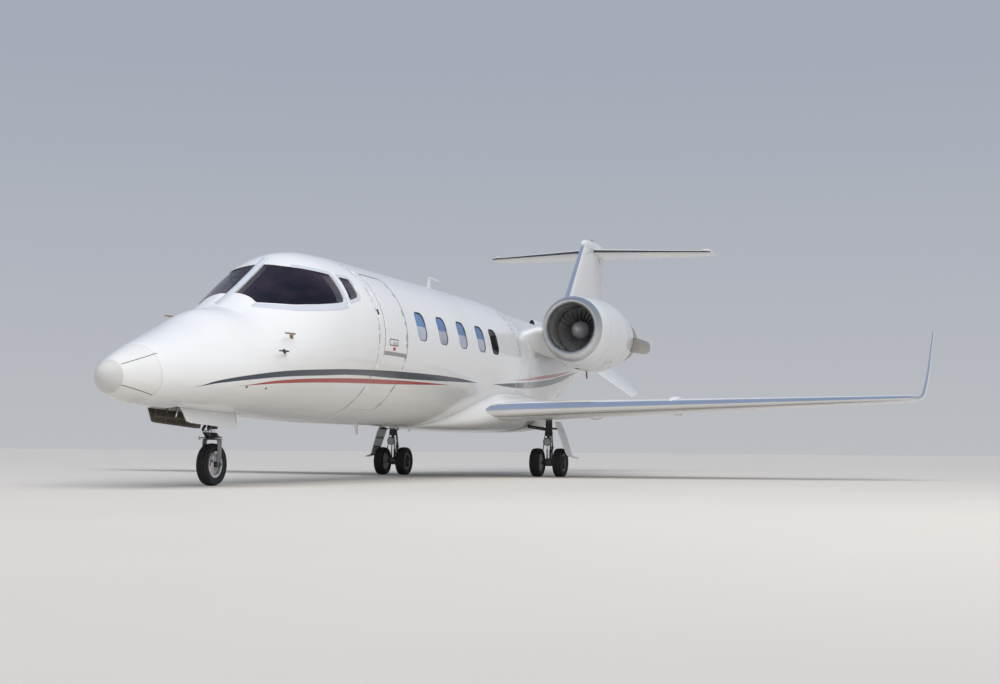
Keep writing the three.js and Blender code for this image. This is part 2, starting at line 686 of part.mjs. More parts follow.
function tailRing(x, grow = 0) {
  const t = Math.abs(x) / TAIL_TIP.x;
  const chord = lerp(TAIL_ROOT.chord, TAIL_TIP.chord, t);
  const front = lerp(TAIL_ROOT.front, TAIL_TIP.front, t);
  const depth = lerp(TAIL_ROOT.depth, TAIL_TIP.depth, t);
  return section(V(x, front - grow, TAILPLANE_Z), chord + grow, depth, V(0, 0, 1), grow);
}

function tailHinge() {
  const at = (x) => {
    const ring = tailRing(x);
    const front = ring[0].y;
    const chord = ring[SECTION.length - 1].y - front;
    return V(x, front + ELEVATOR.hinge * chord, TAILPLANE_Z);
  };
  return { a: at(ELEVATOR.from), b: at(ELEVATOR.to) };
}

const BULLET = [
  [15560, 20], [15640, 62], [15850, 100], [16250, 128], [16800, 132], [17250, 96], [17450, 40],
];
const BULLET_Z = 4335;

function buildTail() {
  const tailRaw = loft([tailRing(-TAIL_TIP.x), tailRing(0), tailRing(TAIL_TIP.x)]);
  const hinge = tailHinge();
  const elevator = surface(tailRaw, hinge.a, hinge.b, 40);
  const tailplane = cut(tailRaw, elevator.cove, mirrored(elevator.cove));
  add('tailplane', tailplane, WHITE);
  add('elevator_left', elevator.moving, WHITE);
  add('elevator_right', mirrored(elevator.moving), WHITE);

  const blade = loft([finRing(FIN_ROOT), finRing(FIN_TOP)]);
  const bulletRings = BULLET.map(([station, r]) => Array.from({ length: 12 }, (_, i) => {
    const a = (i / 12) * 2 * Math.PI;
    return V(r * 0.95 * Math.cos(a), station, BULLET_Z + r * 1.02 * Math.sin(a));
  }));
  const bullet = loft(bulletRings);
  const dorsal = sidePrism([...DORSAL, [15200, 3000], [15200, 2380], [13300, 2380]], -22, 22, 5, 1);
  const raw = join(blade, bullet, dorsal);
  const hullCut = hullBody(12000, TAIL_END, -SEAM);
  const tailCut = loft([tailRing(-400, SEAM), tailRing(0, SEAM), tailRing(400, SEAM)]);
  const { low, high } = RUDDER;
  const along = high.clone().sub(low).normalize();
  const rudderNose = 62;
  const rudderBlade = cut(blade, box(-300, 300, 15000, 18000, 2000, RUDDER_BOTTOM_Z));
  const rudder = surface(rudderBlade, low, high, rudderNose);
  const onHinge = (distance) => low.clone().addScaledVector(along, distance);
  const aftBox = (z0, z1) => box(-300, 300, 15000, 18000, z0, z1);
  const room = behind(onHinge(-200), high, rudderNose + GAP, GAP, COVE_SIDES);
  const cove = cut(join(room, rudder.cove), aftBox(2000, RUDDER_BOTTOM_Z - GAP));
  const pinBore = boreFor(low, onHinge(-GAP - PIN_REACH - 70), PIN_RADIUS, PIN_SIDES);
  const fin = cut(raw, hullCut, tailCut, cove, pinBore, elevatorSweep());
  const longPin = pin(onHinge(30), onHinge(-110), PIN_RADIUS, PIN_SIDES);
  const lowerPin = common(longPin, aftBox(RUDDER_BOTTOM_Z - GAP - PIN_REACH, 2700));
  add('fin', fin, WHITE);
  add('rudder', join(cut(rudder.moving, aftBox(2000, RUDDER_BOTTOM_Z)), lowerPin), WHITE);
}

// Room behind the tailplane's hinge line for the elevators' inner ends
function elevatorSweep() {
  const { a } = tailHinge();
  const inner = ELEVATOR.from - GAP;
  const room = box(inner, 400, a.y - 60, 18100, TAILPLANE_Z - 250, TAILPLANE_Z + 250);
  return [room, mirrored(room)];
}

// Ventral fins under the tail cone: x, front, back, and height at the front; their chords rise aft
const VENTRAL_ROOT = { x: 120, front: 15250, back: 16830, z: 2060, rise: 150 };
const VENTRAL_TIP = { x: 765, front: 16730, back: 17330, z: 1425, rise: 100 };

function buildVentral() {
  const up = V(VENTRAL_ROOT.z - VENTRAL_TIP.z, 0, VENTRAL_TIP.x - VENTRAL_ROOT.x).normalize();
  const ring = (end) => {
    const chord = end.back - end.front;
    return section(V(end.x, end.front, end.z), chord, 26 / chord + 0.02, up, 0, end.rise);
  };
  const blade = cut(loft([ring(VENTRAL_ROOT), ring(VENTRAL_TIP)]), hullBody(14000, TAIL_END, -SEAM));
  add('ventral_fin_left', blade, WHITE);
  add('ventral_fin_right', mirrored(blade), WHITE);
}

// Engine pods: outer radius along the station, and the duct inside
const COWL = [
  [LIP_FRONT, 418], [LIP_FRONT + 22, 447], [LIP_FRONT + 70, 466], [LIP_BACK, 484],
  [10950, 525], [11400, 549], [11900, 553], [12400, 521], [NACELLE_BACK, 462],
  [13300, 411], [REVERSER_BACK, 369],
];
const DUCT = [
  [LIP_FRONT, 418], [LIP_FRONT + 14, 392], [LIP_FRONT + 60, 368], [LIP_BACK, 360],
  [10850, 374], [11000, 392], [11300, 392], [11700, 440], [12300, 452], [NACELLE_BACK, 408],
  [13300, 366], [REVERSER_BACK, 352],
];
const POD_SIDES = 24;
const POD_DROOP = 0.18;
const CORE_FRONT = 11250;
const CORE_BACK = 13050;
const PLUG_BACK = 13420;
const CORE_RADIUS = 285;
const SHAFT_RADIUS = 45;

const engineCentre = (station) => V(ENGINE_X, station, ENGINE_Z);
const shaftLine = engineCentre(0);
const aft = V(0, 1, 0);

// A ring of the pod between two stations, its lower half a little deeper than its upper half
function podRing(from, to) {
  const inside = (row) => row[0] >= from - 1 && row[0] <= to + 1;
  const outer = COWL.filter(inside);
  const inner = DUCT.filter(inside);
  const trim = (rows, share) => rows.map(([y, r]) => [r, Math.min(Math.max(y, from), to - share)]);
  const profile = [...trim(outer, SEAM), ...trim(inner, SEAM).reverse()];
  profile.push(profile[0]);
  return profile;
}

// The outer skin is pulled down below the shaft line, and the whole pod leans in towards the hull
function deepen(body, cutInside) {
  const centre = ENGINE_Z;
  return body.warp((p) => {
    const radius = Math.hypot(p[0] - ENGINE_X, p[2] - centre);
    const below = p[2] < centre && radius > cutInside(p[1]);
    if (below) p[2] = centre + (p[2] - centre) * (1 + POD_DROOP * bulge(p[1]));
    p[0] -= (POD_TOE * (p[1] - FAN_STATION)) / (REVERSER_BACK - LIP_FRONT);
  });
}

// A round piece inside the pod leans with it, and isn't pulled down
const lean = (body) => deepen(body, () => Infinity);

// How far the pod hangs down below round, most of it under the fan
function bulge(y) {
  const t = THREE.MathUtils.clamp((y - LIP_FRONT) / (REVERSER_BACK - LIP_FRONT), 0, 1);
  return Math.sin(Math.PI * t ** 0.53);
}

const between = (rows, y) => {
  const i = Math.max(1, rows.findIndex((row) => row[0] >= y));
  const [y0, r0] = rows[i - 1];
  const [y1, r1] = rows[i];
  return lerp(r0, r1, THREE.MathUtils.clamp((y - y0) / (y1 - y0), 0, 1));
};
const skinLine = (y) => (between(COWL, y) + between(DUCT, y)) / 2;

const podPiece = (from, to) => deepen(turned(podRing(from, to), shaftLine, aft, POD_SIDES), skinLine);

function buildFan() {
  const spinner = turned(
    [[0, -260], [60, -220], [112, -140], [140, -60], [140, 70], [0, 70]],
    engineCentre(FAN_STATION), aft, FAN_BLADES,
  );
  const blade = (turnBy) => {
    const rows = [[120, 50, 28], [FAN_RADIUS, 72, 62]];
    const rings = rows.map(([r, half, pitch]) => {
      const a = -rad(pitch);
      const across = V(Math.sin(a), Math.cos(a), 0);
      const thin = V(Math.cos(a), -Math.sin(a), 0);
      const corner = (u, v) => V(0, 0, r).addScaledVector(across, u * half).addScaledVector(thin, v * 6);
      return [corner(-1, 0), corner(0, -1), corner(1, 0), corner(0, 1)];
    });
    const spin = new THREE.Matrix4().makeRotationY(turnBy);
    const place = new THREE.Matrix4().makeTranslation(ENGINE_X, FAN_STATION, ENGINE_Z).multiply(spin);
    return loft(rings.map((ring) => ring.map((p) => p.applyMatrix4(place))));
  };
  const blades = Array.from({ length: FAN_BLADES }, (_, i) => blade(((i + 0.5) / FAN_BLADES) * 2 * Math.PI));
  const bore = boreFor(engineCentre(FAN_STATION), engineCentre(FAN_STATION + 80), SHAFT_RADIUS);
  return cut(join(spinner, blades), bore);
}

function buildEngines() {
  const lip = podPiece(LIP_FRONT, LIP_BACK);
  const nacelle = podPiece(LIP_BACK, NACELLE_BACK);
  const ring = podPiece(NACELLE_BACK, REVERSER_BACK);
  const hingeFairing = (side) => {
    const rows = [[12500, 40, 60], [12750, 110, 105], [13100, 130, 120], [13600, 120, 112], [13740, 80, 80]];
    const out = side * 470 - 62;
    const slim = side > 0 ? 1 : 0.5;
    const rings = rows.map(([station, half, tall]) => Array.from({ length: 12 }, (_, i) => {
      const a = (i / 12) * 2 * Math.PI;
      return V(ENGINE_X + out + slim * half * Math.cos(a), station, ENGINE_Z - 120 + tall * Math.sin(a));
    }));
    return loft(rings);
  };
  const throat = lean(turned(
    [[0, 12000], [436, 12000], [436, NACELLE_BACK], [390, 13300], [360, 14000], [0, 14000]],
    shaftLine, aft, POD_SIDES,
  ));
  const inFront = box(0, 3000, 12000, NACELLE_BACK, 1000, 4000);
  const fairings = [1, -1].map((side) => cut(hingeFairing(side), throat, inFront));
  const reverser = join(ring, fairings);

  const core = lean(turned(
    [[0, CORE_FRONT], [150, CORE_FRONT], [CORE_RADIUS, CORE_FRONT + 160], [CORE_RADIUS, 12500],
      [210, CORE_BACK], [60, PLUG_BACK], [0, PLUG_BACK]],
    shaftLine, aft, 16,
  ));
  const shaft = pin(engineCentre(FAN_STATION + 4), engineCentre(CORE_FRONT + 40), SHAFT_RADIUS);
  const vane = (angle) => {
    const out = V(Math.cos(angle), 0, Math.sin(angle));
    const root = engineCentre(12050).addScaledVector(out, 200);
    const tip = engineCentre(12050).addScaledVector(out, 520);
    return beam(root, tip, 300, 26, V(0, 1, 0));
  };
  const vanes = common(
    join([45, 135, 225, 315].map((d) => vane(rad(d)))),
    lean(turned(
      [[0, 11700], [440 - SEAM, 11700], [452 - SEAM, 12300], [0, 12300]],
      shaftLine, aft, POD_SIDES,
    )),
  );
  const engine = join(core, shaft, vanes);
  const fan = buildFan();
  const pylon = buildPylon(podPieceSolid());
  for (const [side, turn] of [['left', (m) => m], ['right', mirrored]]) {
    add(`inlet_lip_${side}`, turn(lip), BARE_METAL);
    add(`nacelle_${side}`, turn(nacelle), WHITE);
    add(`reverser_${side}`, turn(reverser), WARM_METAL);
    add(`engine_core_${side}`, turn(engine), DARK_METAL);
    add(`pylon_${side}`, turn(pylon), WHITE);
  }
  // Both engines turn the same way, so the fans are not mirror images
  add('fan_left', fan, DARK_METAL);
  add('fan_right', fan.translate([-2 * ENGINE_X, 0, 0]), DARK_METAL);
}

// The pod without its duct, a little larger, to trim the pylon against
function podPieceSolid() {
  const rows = COWL.map(([y, r]) => [r + SEAM, y]);
  const profile = [[0, LIP_FRONT - SEAM], ...rows, [0, REVERSER_BACK]];
  return deepen(turned(profile, shaftLine, aft, POD_SIDES), () => 0);
}

// The pylon is tall at the hull and slim at the pod: x, front, back, bottom, top
const PYLON = [
  [420, 10150, 13450, 1800, 2290],
  [640, 10230, 13060, 1920, 2322],
  [740, 10290, 12885, 2010, 2342],
  [850, 10420, 12860, 2110, 2370],
  [1100, 10560, 12780, 2150, 2390],
];

function buildPylon(pod) {
  const rings = PYLON.map(([x, front, back, bottom, top]) => {
    const middle = (bottom + top) / 2;
    const half = (top - bottom) / 2;
    const outline = [[0, 0], [0.02, 0.5], [0.08, 0.85], [0.2, 1], [0.6, 1], [0.85, 0.6], [1, 0.05]];
    const up = outline.map(([t, h]) => V(x, lerp(front, back, t), middle + half * h));
    const down = outline.slice(1).reverse().map(([t, h]) => V(x, lerp(front, back, t), middle - half * h));
    return [...up, ...down];
  });
  return cut(loft(rings), hullBody(9600, 14000, -SEAM), pod);
}

// Wheels: a tyre and a rim, turned about X. Profiles are [radius, distance from the middle]
const MAIN_RIM_RADIUS = 118;
const NOSE_RIM_RADIUS = 112;
const AXLE_RADIUS = 32;
const NOSE_AXLE_RADIUS = 24;
const TYRE_SIDES = 20;
const flatDown = Math.PI / TYRE_SIDES;
const outwards = V(1, 0, 0);

function tyreProfile(radius, width, rim) {
  const r = radius / Math.cos(flatDown);
  const half = width / 2;
  const seat = rim + SEAM / Math.cos(flatDown);
  return [
    [seat, -half * 0.72], [lerp(seat, r, 0.35), -half], [r - 22, -half * 0.9], [r, -half * 0.5],
    [r, half * 0.5], [r - 22, half * 0.9], [lerp(seat, r, 0.35), half], [seat, half * 0.72],
    [seat, -half * 0.72],
  ];
}

function rimProfile(rim, width) {
  const half = (width / 2) * 0.72;
  return [
    [0, -half * 0.4], [rim * 0.6, -half * 0.4], [rim * 0.84, -half], [rim, -half], [rim, half],
    [rim * 0.84, half], [rim * 0.6, half * 0.4], [0, half * 0.4],
  ];
}

// The lathe starts its first edge at the phase, so a flat lies at the bottom
const roundOff = (profile, centre) => turned(profile, centre, outwards, TYRE_SIDES, flatDown);
const tyreAt = (centre, radius, width, rim) => roundOff(tyreProfile(radius, width, rim), centre);
const rimAt = (centre, rim, width) => roundOff(rimProfile(rim, width), centre);

const MAIN_AXLE_Z = MAIN_TYRE_RADIUS;
const NOSE_AXLE_Z = NOSE_TYRE_RADIUS;
const STRUT_TOP = LEG_SLOT.top - SEAM;
const BOSS_RADIUS = 54;
const BOSS_HALF = 62;

// Main gear: twin wheels on one turning axle, held in the boss at the foot of the leg
function buildMainGear() {
  const centre = (offset) => V(MAIN_TRACK_X + offset, MAIN_STATION, MAIN_AXLE_Z);
  const twins = [-TWIN_OFFSET, TWIN_OFFSET];
  const mainTyre = (d) => tyreAt(centre(d), MAIN_TYRE_RADIUS, MAIN_TYRE_WIDTH, MAIN_RIM_RADIUS);
  const [inner, outer] = twins.map(mainTyre);
  const rims = twins.map((d) => rimAt(centre(d), MAIN_RIM_RADIUS, MAIN_TYRE_WIDTH));
  const axle = pin(centre(-TWIN_OFFSET - 60), centre(TWIN_OFFSET + 60), AXLE_RADIUS);
  const wheels = join(rims, axle);

  const onLeg = (z, ahead = 0, inboard = 0) => V(MAIN_TRACK_X - inboard, MAIN_STATION + ahead, z);
  const strut = bar(onLeg(620), onLeg(STRUT_TOP), 58, 10);
  const piston = bar(centre(0).add(V(0, 0, 30)), onLeg(640), 40, 10);
  const boss = bar(centre(-BOSS_HALF), centre(BOSS_HALF), BOSS_RADIUS, 10);
  const links = [
    beam(onLeg(255, 30), onLeg(440, 150), 60, 22, outwards),
    beam(onLeg(425, 150), onLeg(640, 40), 60, 22, outwards),
  ];
  const brace = bar(onLeg(700, 0, 20), V(BAY_INNER_X + 40, MAIN_STATION, BAY_TOP - 40), 26, 10);
  const head = box(
    BAY_INNER_X + SEAM, BAY_INNER_X + 70, MAIN_STATION - 50, MAIN_STATION + 50, BAY_TOP - 85, BAY_TOP - SEAM,
  );
  const bracket = box(MAIN_TRACK_X, DOOR_PLATE[1].x, MAIN_STATION - 30, MAIN_STATION + 30, 700, 730);
  const plateInside = loft(plateRings(-SEAM, 900));
  const leg = cut(
    join(strut, piston, boss, links, brace, head, cut(bracket, plateInside)),
    boreFor(centre(-200), centre(200), AXLE_RADIUS),
  );
  const plate = loft(plateRings(0, PLATE_THICKNESS));
  for (const [side, turn] of [['left', (m) => m], ['right', mirrored]]) {
    add(`main_wheel_${side}`, turn(wheels), BARE_METAL);
    add(`main_tyre_inner_${side}`, turn(inner), RUBBER);
    add(`main_tyre_outer_${side}`, turn(outer), RUBBER);
    add(`main_leg_${side}`, turn(leg), LEG_GREY);
    add(`main_leg_door_${side}`, turn(plate), WHITE);
  }
}

// The door on each main leg hangs outside the outer tyre: x, height, half length along the aircraft
const BAY_INNER_X = 540;
const BAY_TOP = LEG_SLOT.top - 60;
const PLATE_THICKNESS = 14;
const DOOR_PLATE = [
  { x: 1385, z: 812, half: 150 },
  { x: 1455, z: 640, half: 165 },
  { x: 1530, z: 420, half: 150 },
  { x: 1575, z: 315, half: 120 },
  { x: 1690, z: 272, half: 95 },
];

function plateRings(from, thickness) {
  return DOOR_PLATE.map(({ x, z, half }) => [
    V(x + from, MAIN_STATION - half, z), V(x + from, MAIN_STATION + half, z),
    V(x + from + thickness, MAIN_STATION + half, z + (thickness > 100 ? 0 : 4)),
    V(x + from + thickness, MAIN_STATION - half, z + (thickness > 100 ? 0 : 4)),
  ]);
}

// Nose gear: a leg with a steering collar, and a fork that turns in it and holds the wheel
const COLLAR_LOW = 585;
const COLLAR_HIGH = 800;
const STEM_RADIUS = 34;

function buildNoseGear() {
  const centre = V(0, NOSE_STATION, NOSE_AXLE_Z);
  const at = (x, y, z) => V(x, NOSE_STATION + y, z);
  const half = NOSE_TYRE_WIDTH / 2;
  const tyre = tyreAt(centre, NOSE_TYRE_RADIUS, NOSE_TYRE_WIDTH, NOSE_RIM_RADIUS);
  const rim = rimAt(centre, NOSE_RIM_RADIUS, NOSE_TYRE_WIDTH);
  const axle = pin(at(-half - 40, 0, NOSE_AXLE_Z), at(half + 40, 0, NOSE_AXLE_Z), NOSE_AXLE_RADIUS);
  add('nose_wheel', join(rim, axle), BARE_METAL);
  add('nose_tyre', tyre, RUBBER);

  const arm = (side) => [
    beam(at(side * 84, 0, NOSE_AXLE_Z - 45), at(side * 84, 0, 500), 26, 74, outwards),
    bar(at(side * 71, 0, NOSE_AXLE_Z), at(side * 97, 0, NOSE_AXLE_Z), 46, 10),
  ];
  const crown = box(-97, 97, NOSE_STATION - 45, NOSE_STATION + 45, 470, 520);
  const stem = pin(at(0, 0, 500), at(0, 0, COLLAR_HIGH - 30), STEM_RADIUS);
  const fork = cut(
    join(arm(-1), arm(1), crown, stem),
    boreFor(at(-140, 0, NOSE_AXLE_Z), at(140, 0, NOSE_AXLE_Z), NOSE_AXLE_RADIUS),
  );
  add('nose_fork', fork, WARM_METAL);

  const collar = bar(at(0, 0, COLLAR_LOW), at(0, 0, NOSE_BAY_TOP - SEAM), 58, 10);
  const drag = bar(at(0, -20, 800), V(0, NOSE_BAY_FRONT + 420, NOSE_BAY_TOP - 30), 24, 10);
  const front = NOSE_BAY_FRONT + 380;
  const dragHead = box(-60, 60, front, front + 80, NOSE_BAY_TOP - 60, NOSE_BAY_TOP - SEAM);
  const across = NOSE_BAY_HALF - SEAM;
  const trunnion = box(-across, across, NOSE_STATION - 45, NOSE_STATION + 45, 930, 1020);
  const stemBore = boreFor(at(0, 0, 400), at(0, 0, COLLAR_HIGH), STEM_RADIUS);
  const leg = cut(join(collar, drag, dragHead, trunnion), stemBore);
  add('nose_leg', leg, LEG_GREY);

  const low = hullAt(NOSE_BAY_FRONT).bottom;
  const rings = [
    [NOSE_BAY_FRONT + 15, NOSE_BAY_HALF - 12, low + 40, NOSE_BAY_HALF + 6, 640],
    [NOSE_BAY_BACK - 15, NOSE_BAY_HALF - 12, low + 40, NOSE_BAY_HALF + 26, 588],
  ].map(([y, x0, z0, x1, z1]) => [V(x0, y, z0), V(x0 + 11.5, y, z0), V(x1 + 11.5, y, z1), V(x1, y, z1)]);
  const flap = cut(loft(rings), hullBody(600, 3000, -SEAM).subtract(noseBaySpace()));
  add('nose_door_left', flap, WHITE);
  add('nose_door_right', mirrored(flap), WHITE);
}

const noseBaySpace = () => box(
  -NOSE_BAY_HALF + SEAM, NOSE_BAY_HALF - SEAM, NOSE_BAY_FRONT + SEAM, NOSE_BAY_BACK - SEAM, 500, NOSE_BAY_TOP,
);

// Cabin floor with its seats, and the instrument panel
const SEAT_ROWS = [5150, 6300, 7450];
const SEAT_X = 380;
const SEAT_WIDTH = 480;

function seat(x, station, backwards = 1) {
  const w = SEAT_WIDTH / 2;
  const f = (y) => station + backwards * y;
  const slab = (y0, y1, z0, z1, half = w) => {
    const [front, back] = [f(y0), f(y1)].sort((a, b) => a - b);
    return box(x - half, x + half, front, back, z0, z1);
  };
  return join(
    slab(-180, 180, FLOOR_Z - 20, FLOOR_Z + 230, 150),
    slab(-260, 250, FLOOR_Z + 200, FLOOR_Z + 390, w - 40),
    beam(V(x, f(200), FLOOR_Z + 300), V(x, f(330), FLOOR_Z + 920), w * 1.5, 130, outwards),
  );
}

function buildInterior() {
  const slab = box(-900, 900, COCKPIT_START + 60, CABIN_END - 60, FLOOR_Z - FLOOR_THICKNESS, FLOOR_Z);
  const inside = hullBody(COCKPIT_START + 10, CABIN_END - 10, WALL + SEAM);
  const cabinSeats = SEAT_ROWS.flatMap((y) => [seat(SEAT_X, y), seat(-SEAT_X, y)]);
  const pilots = [seat(330, 3300), seat(-330, 3300)];
  const room = hullBody(COCKPIT_START + 10, CABIN_END - 10, WALL + 14);
  const fitted = common(join(cabinSeats, pilots), room);
  add('cabin_floor', join(common(slab, inside), fitted), CARPET);

  const panel = join(
    box(-600, 600, 2560, 2720, FLOOR_Z + 250, FLOOR_Z + 660),
    box(-90, 90, 2600, 3050, FLOOR_Z + SEAM, FLOOR_Z + 420),
  );
  add('instrument_panel', common(panel, hullBody(COCKPIT_START + 10, 4000, WALL + 12)), PANEL);
}

buildHull();
buildDoors();
buildGlass();
buildInterior();
buildFairing();
buildWing();
buildTail();
buildVentral();
buildEngines();
buildMainGear();
buildNoseGear();

export default aircraft;
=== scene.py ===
import math

import bmesh
import bpy
import numpy as np
from mathutils import Matrix, Vector
from mathutils.bvhtree import BVHTree


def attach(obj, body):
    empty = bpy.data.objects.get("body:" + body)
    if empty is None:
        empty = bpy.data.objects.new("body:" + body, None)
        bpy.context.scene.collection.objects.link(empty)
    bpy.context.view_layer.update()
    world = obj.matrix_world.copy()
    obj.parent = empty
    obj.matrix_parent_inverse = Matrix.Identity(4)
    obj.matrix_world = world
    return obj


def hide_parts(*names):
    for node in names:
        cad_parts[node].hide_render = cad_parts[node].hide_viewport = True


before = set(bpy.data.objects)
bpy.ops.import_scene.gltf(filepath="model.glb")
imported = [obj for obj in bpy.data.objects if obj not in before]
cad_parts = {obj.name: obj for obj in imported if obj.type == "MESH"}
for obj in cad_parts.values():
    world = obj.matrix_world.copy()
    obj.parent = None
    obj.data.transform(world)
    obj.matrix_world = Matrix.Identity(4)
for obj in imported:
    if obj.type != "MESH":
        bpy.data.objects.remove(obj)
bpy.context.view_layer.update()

# A twin-engined business jet, parked on its gear. Metres, +Z up, nose towards -Y, +X to port.
# Stations are measured aft from the tip of the nose, and half the length lies ahead of the origin.
HALF_LENGTH = 8.94
WALL = 0.08
GAP = 0.008


def at(x, station, z):
    """A point given by its station."""
    return Vector((x, station - HALF_LENGTH, z))


# Camera: the place the photograph was taken from, fitted to the wheels, wing tips, fin and nose
EYE = (7.977, -20.815, 0.396)
YAW = 19.13
PITCH = 4.06
ROLL = 0.45
FOCAL_PIXELS = 1517.7
FRAME_WIDTH = 1000
SENSOR = 36.0


def build_camera():
    yaw, pitch, roll = (math.radians(a) for a in (YAW, PITCH, ROLL))
    ahead = Vector((-math.sin(yaw) * math.cos(pitch), math.cos(yaw) * math.cos(pitch), math.sin(pitch)))
    right = ahead.cross(UP).normalized()
    up = right.cross(ahead)
    tilted_right = right * math.cos(roll) + up * math.sin(roll)
    tilted_up = up * math.cos(roll) - right * math.sin(roll)
    data = bpy.data.cameras.new("camera")
    data.sensor_width = SENSOR
    data.lens = FOCAL_PIXELS / FRAME_WIDTH * SENSOR
    data.clip_end = 500
    camera = put("camera", data)
    rows = Matrix((tilted_right, tilted_up, -ahead)).transposed()
    camera.matrix_world = Matrix.Translation(EYE) @ rows.to_4x4()
    bpy.context.scene.camera = camera


ACROSS = Vector((1, 0, 0))
AFT = Vector((0, 1, 0))
UP = Vector((0, 0, 1))
WELD = 1e-6
CREASE = 35
ON_SKIN = 5e-4
SAME_WAY = 0.8


def turns(count):
    """Angles all the way round."""
    return [math.tau * i / count for i in range(count)]


def squared(angle, power):
    """A point of a rounded square: the lower the power, the squarer it is."""
    c, s = math.cos(angle), math.sin(angle)
    return math.copysign(abs(c) ** power, c), math.copysign(abs(s) ** power, s)


def put(name, data):
    """A new object in the scene."""
    thing = bpy.data.objects.new(name, data)
    bpy.context.scene.collection.objects.link(thing)
    return thing


# Shapes are (points, faces) pairs, and a piece is a named object made from some of them
def merged(*shapes):
    points, faces = [], []
    for more_points, more_faces in shapes:
        start = len(points)
        points.extend(more_points)
        faces.extend([start + i for i in face] for face in more_faces)
    return points, faces


def loft(rings, closed=True, caps=(True, True), loop=False):
    """A skin over rings of equal length; caps close its two ends, loop joins the last ring to the first."""
    points = [Vector(p) for ring in rings for p in ring]
    n = len(rings[0])
    m = len(rings)
    faces = []
    for r in range(m if loop else m - 1):
        for i in range(n if closed else n - 1):
            j = (i + 1) % n
            s = (r + 1) % m
            faces.append([r * n + i, r * n + j, s * n + j, s * n + i])
    if closed and not loop:
        if caps[0]:
            faces.append(list(range(n))[::-1])
        if caps[1]:
            faces.append([(m - 1) * n + i for i in range(n)])
    return points, faces


def mirrored(shape):
    points, faces = shape
    return [Vector((-p.x, p.y, p.z)) for p in points], [face[::-1] for face in faces]


def as_drawn(shape):
    return shape


HANDS = (("left", as_drawn), ("right", mirrored))


def both_sides(build):
    """Parts are drawn for the port side, which is left; turn carries them to their own side."""
    for hand, turn in HANDS:
        build(hand, turn)


def turned(shape, matrix):
    points, faces = shape
    return [matrix @ p for p in points], faces


def axes_for(direction):
    """Two unit vectors across a direction."""
    d = Vector(direction).normalized()
    helper = UP if abs(d.z) < 0.9 else ACROSS
    side = d.cross(helper).normalized()
    return side, side.cross(d)


def lathe(profile, centre, axis, sides=48, loop=False):
    """A turned shape: profile rows are (radius, distance along the axis)."""
    d = Vector(axis).normalized()
    side, up = axes_for(d)
    rings = []
    for radius, along in profile:
        rings.append([
            Vector(centre) + d * along
            + (side * math.cos(a) + up * math.sin(a)) * max(radius, 1e-5)
            for a in turns(sides)
        ])
    return loft(rings, loop=loop)


def bar(a, b, radius, sides=20, bevel=0.002):
    """A round bar with small chamfers at both ends."""
    a, b = Vector(a), Vector(b)
    length = (b - a).length
    e = min(bevel, radius * 0.4, length * 0.3)
    profile = [(radius - e, 0), (radius, e), (radius, length - e), (radius - e, length)]
    return lathe(profile, a, b - a, sides)


def tube(path, radius, sides=10, closed=False):
    """A round tube along a path; the radius may be a list."""
    path = [Vector(p) for p in path]
    n = len(path)
    radii = radius if isinstance(radius, (list, tuple)) else [radius] * n
    rings = []
    up = None
    for i, p in enumerate(path):
        before = path[i - 1] if i or closed else p
        after = path[(i + 1) % n] if i + 1 < n or closed else p
        tangent = (after - before).normalized()
        if up is None:
            _, up = axes_for(tangent)
        up = (up - tangent * up.dot(tangent)).normalized()
        side = tangent.cross(up)
        rings.append([
            p + (side * math.cos(t) + up * math.sin(t)) * radii[i]
            for t in turns(sides)
        ])
    return loft(rings, loop=closed)


def smooth_path(points, steps=8, closed=False):
    """Catmull-Rom curve through the points."""
    points = [Vector(p) for p in points]
    n = len(points)
    out = []
    for i in range(n if closed else n - 1):
        if closed:
            p0, p1, p2, p3 = (points[(i + k) % n] for k in (-1, 0, 1, 2))
        else:
            p1, p2 = points[i], points[i + 1]
            p0 = points[i - 1] if i else p1 * 2 - p2
            p3 = points[i + 2] if i + 2 < n else p2 * 2 - p1
        for k in range(steps):
            t = k / steps
            out.append(0.5 * (2 * p1 + (p2 - p0) * t + (2 * p0 - 5 * p1 + 4 * p2 - p3) * t * t
                              + (3 * p1 - p0 - 3 * p2 + p3) * t ** 3))
    if not closed:
        out.append(points[-1])
    return out


def block(low, high, bevel=0.004, steps=2):
    """A box with rounded edges."""
    low, high = Vector(low), Vector(high)
    bm = bmesh.new()
    bmesh.ops.create_cube(bm, size=1)
    for v in bm.verts:
        v.co = Vector(((low[k] + high[k]) / 2 + v.co[k] * (high[k] - low[k]) for k in range(3)))
    size = min(high - low)
    bmesh.ops.bevel(bm, geom=list(bm.edges) + list(bm.verts), offset=min(bevel, size * 0.3),
                    segments=steps, profile=0.6, affect="EDGES", clamp_overlap=True)
    bm.verts.index_update()
    shape = [v.co.copy() for v in bm.verts], [[v.index for v in f.verts] for f in bm.faces]
    bm.free()
    return shape


def beam(a, b, width, depth, wide, bevel=0.004):
    """A flat bar from a to b with its wide side along the given direction."""
    a, b = Vector(a), Vector(b)
    along = (b - a).normalized()
    side = (Vector(wide) - along * Vector(wide).dot(along)).normalized()
    third = along.cross(side)
    turn = Matrix((side, third, along)).transposed().to_4x4()
    length = (b - a).length
    shape = block((-width / 2, -depth / 2, -length / 2), (width / 2, depth / 2, length / 2), bevel)
    return turned(shape, Matrix.Translation((a + b) / 2) @ turn)


def prism(outline, frame_at, low, high):
    """A prism: outline points (u, v) placed by frame_at(u, v, w) at w = low and w = high."""
    rings = [[frame_at(u, v, w) for u, v in outline] for w in (low, high)]
    return loft(rings)


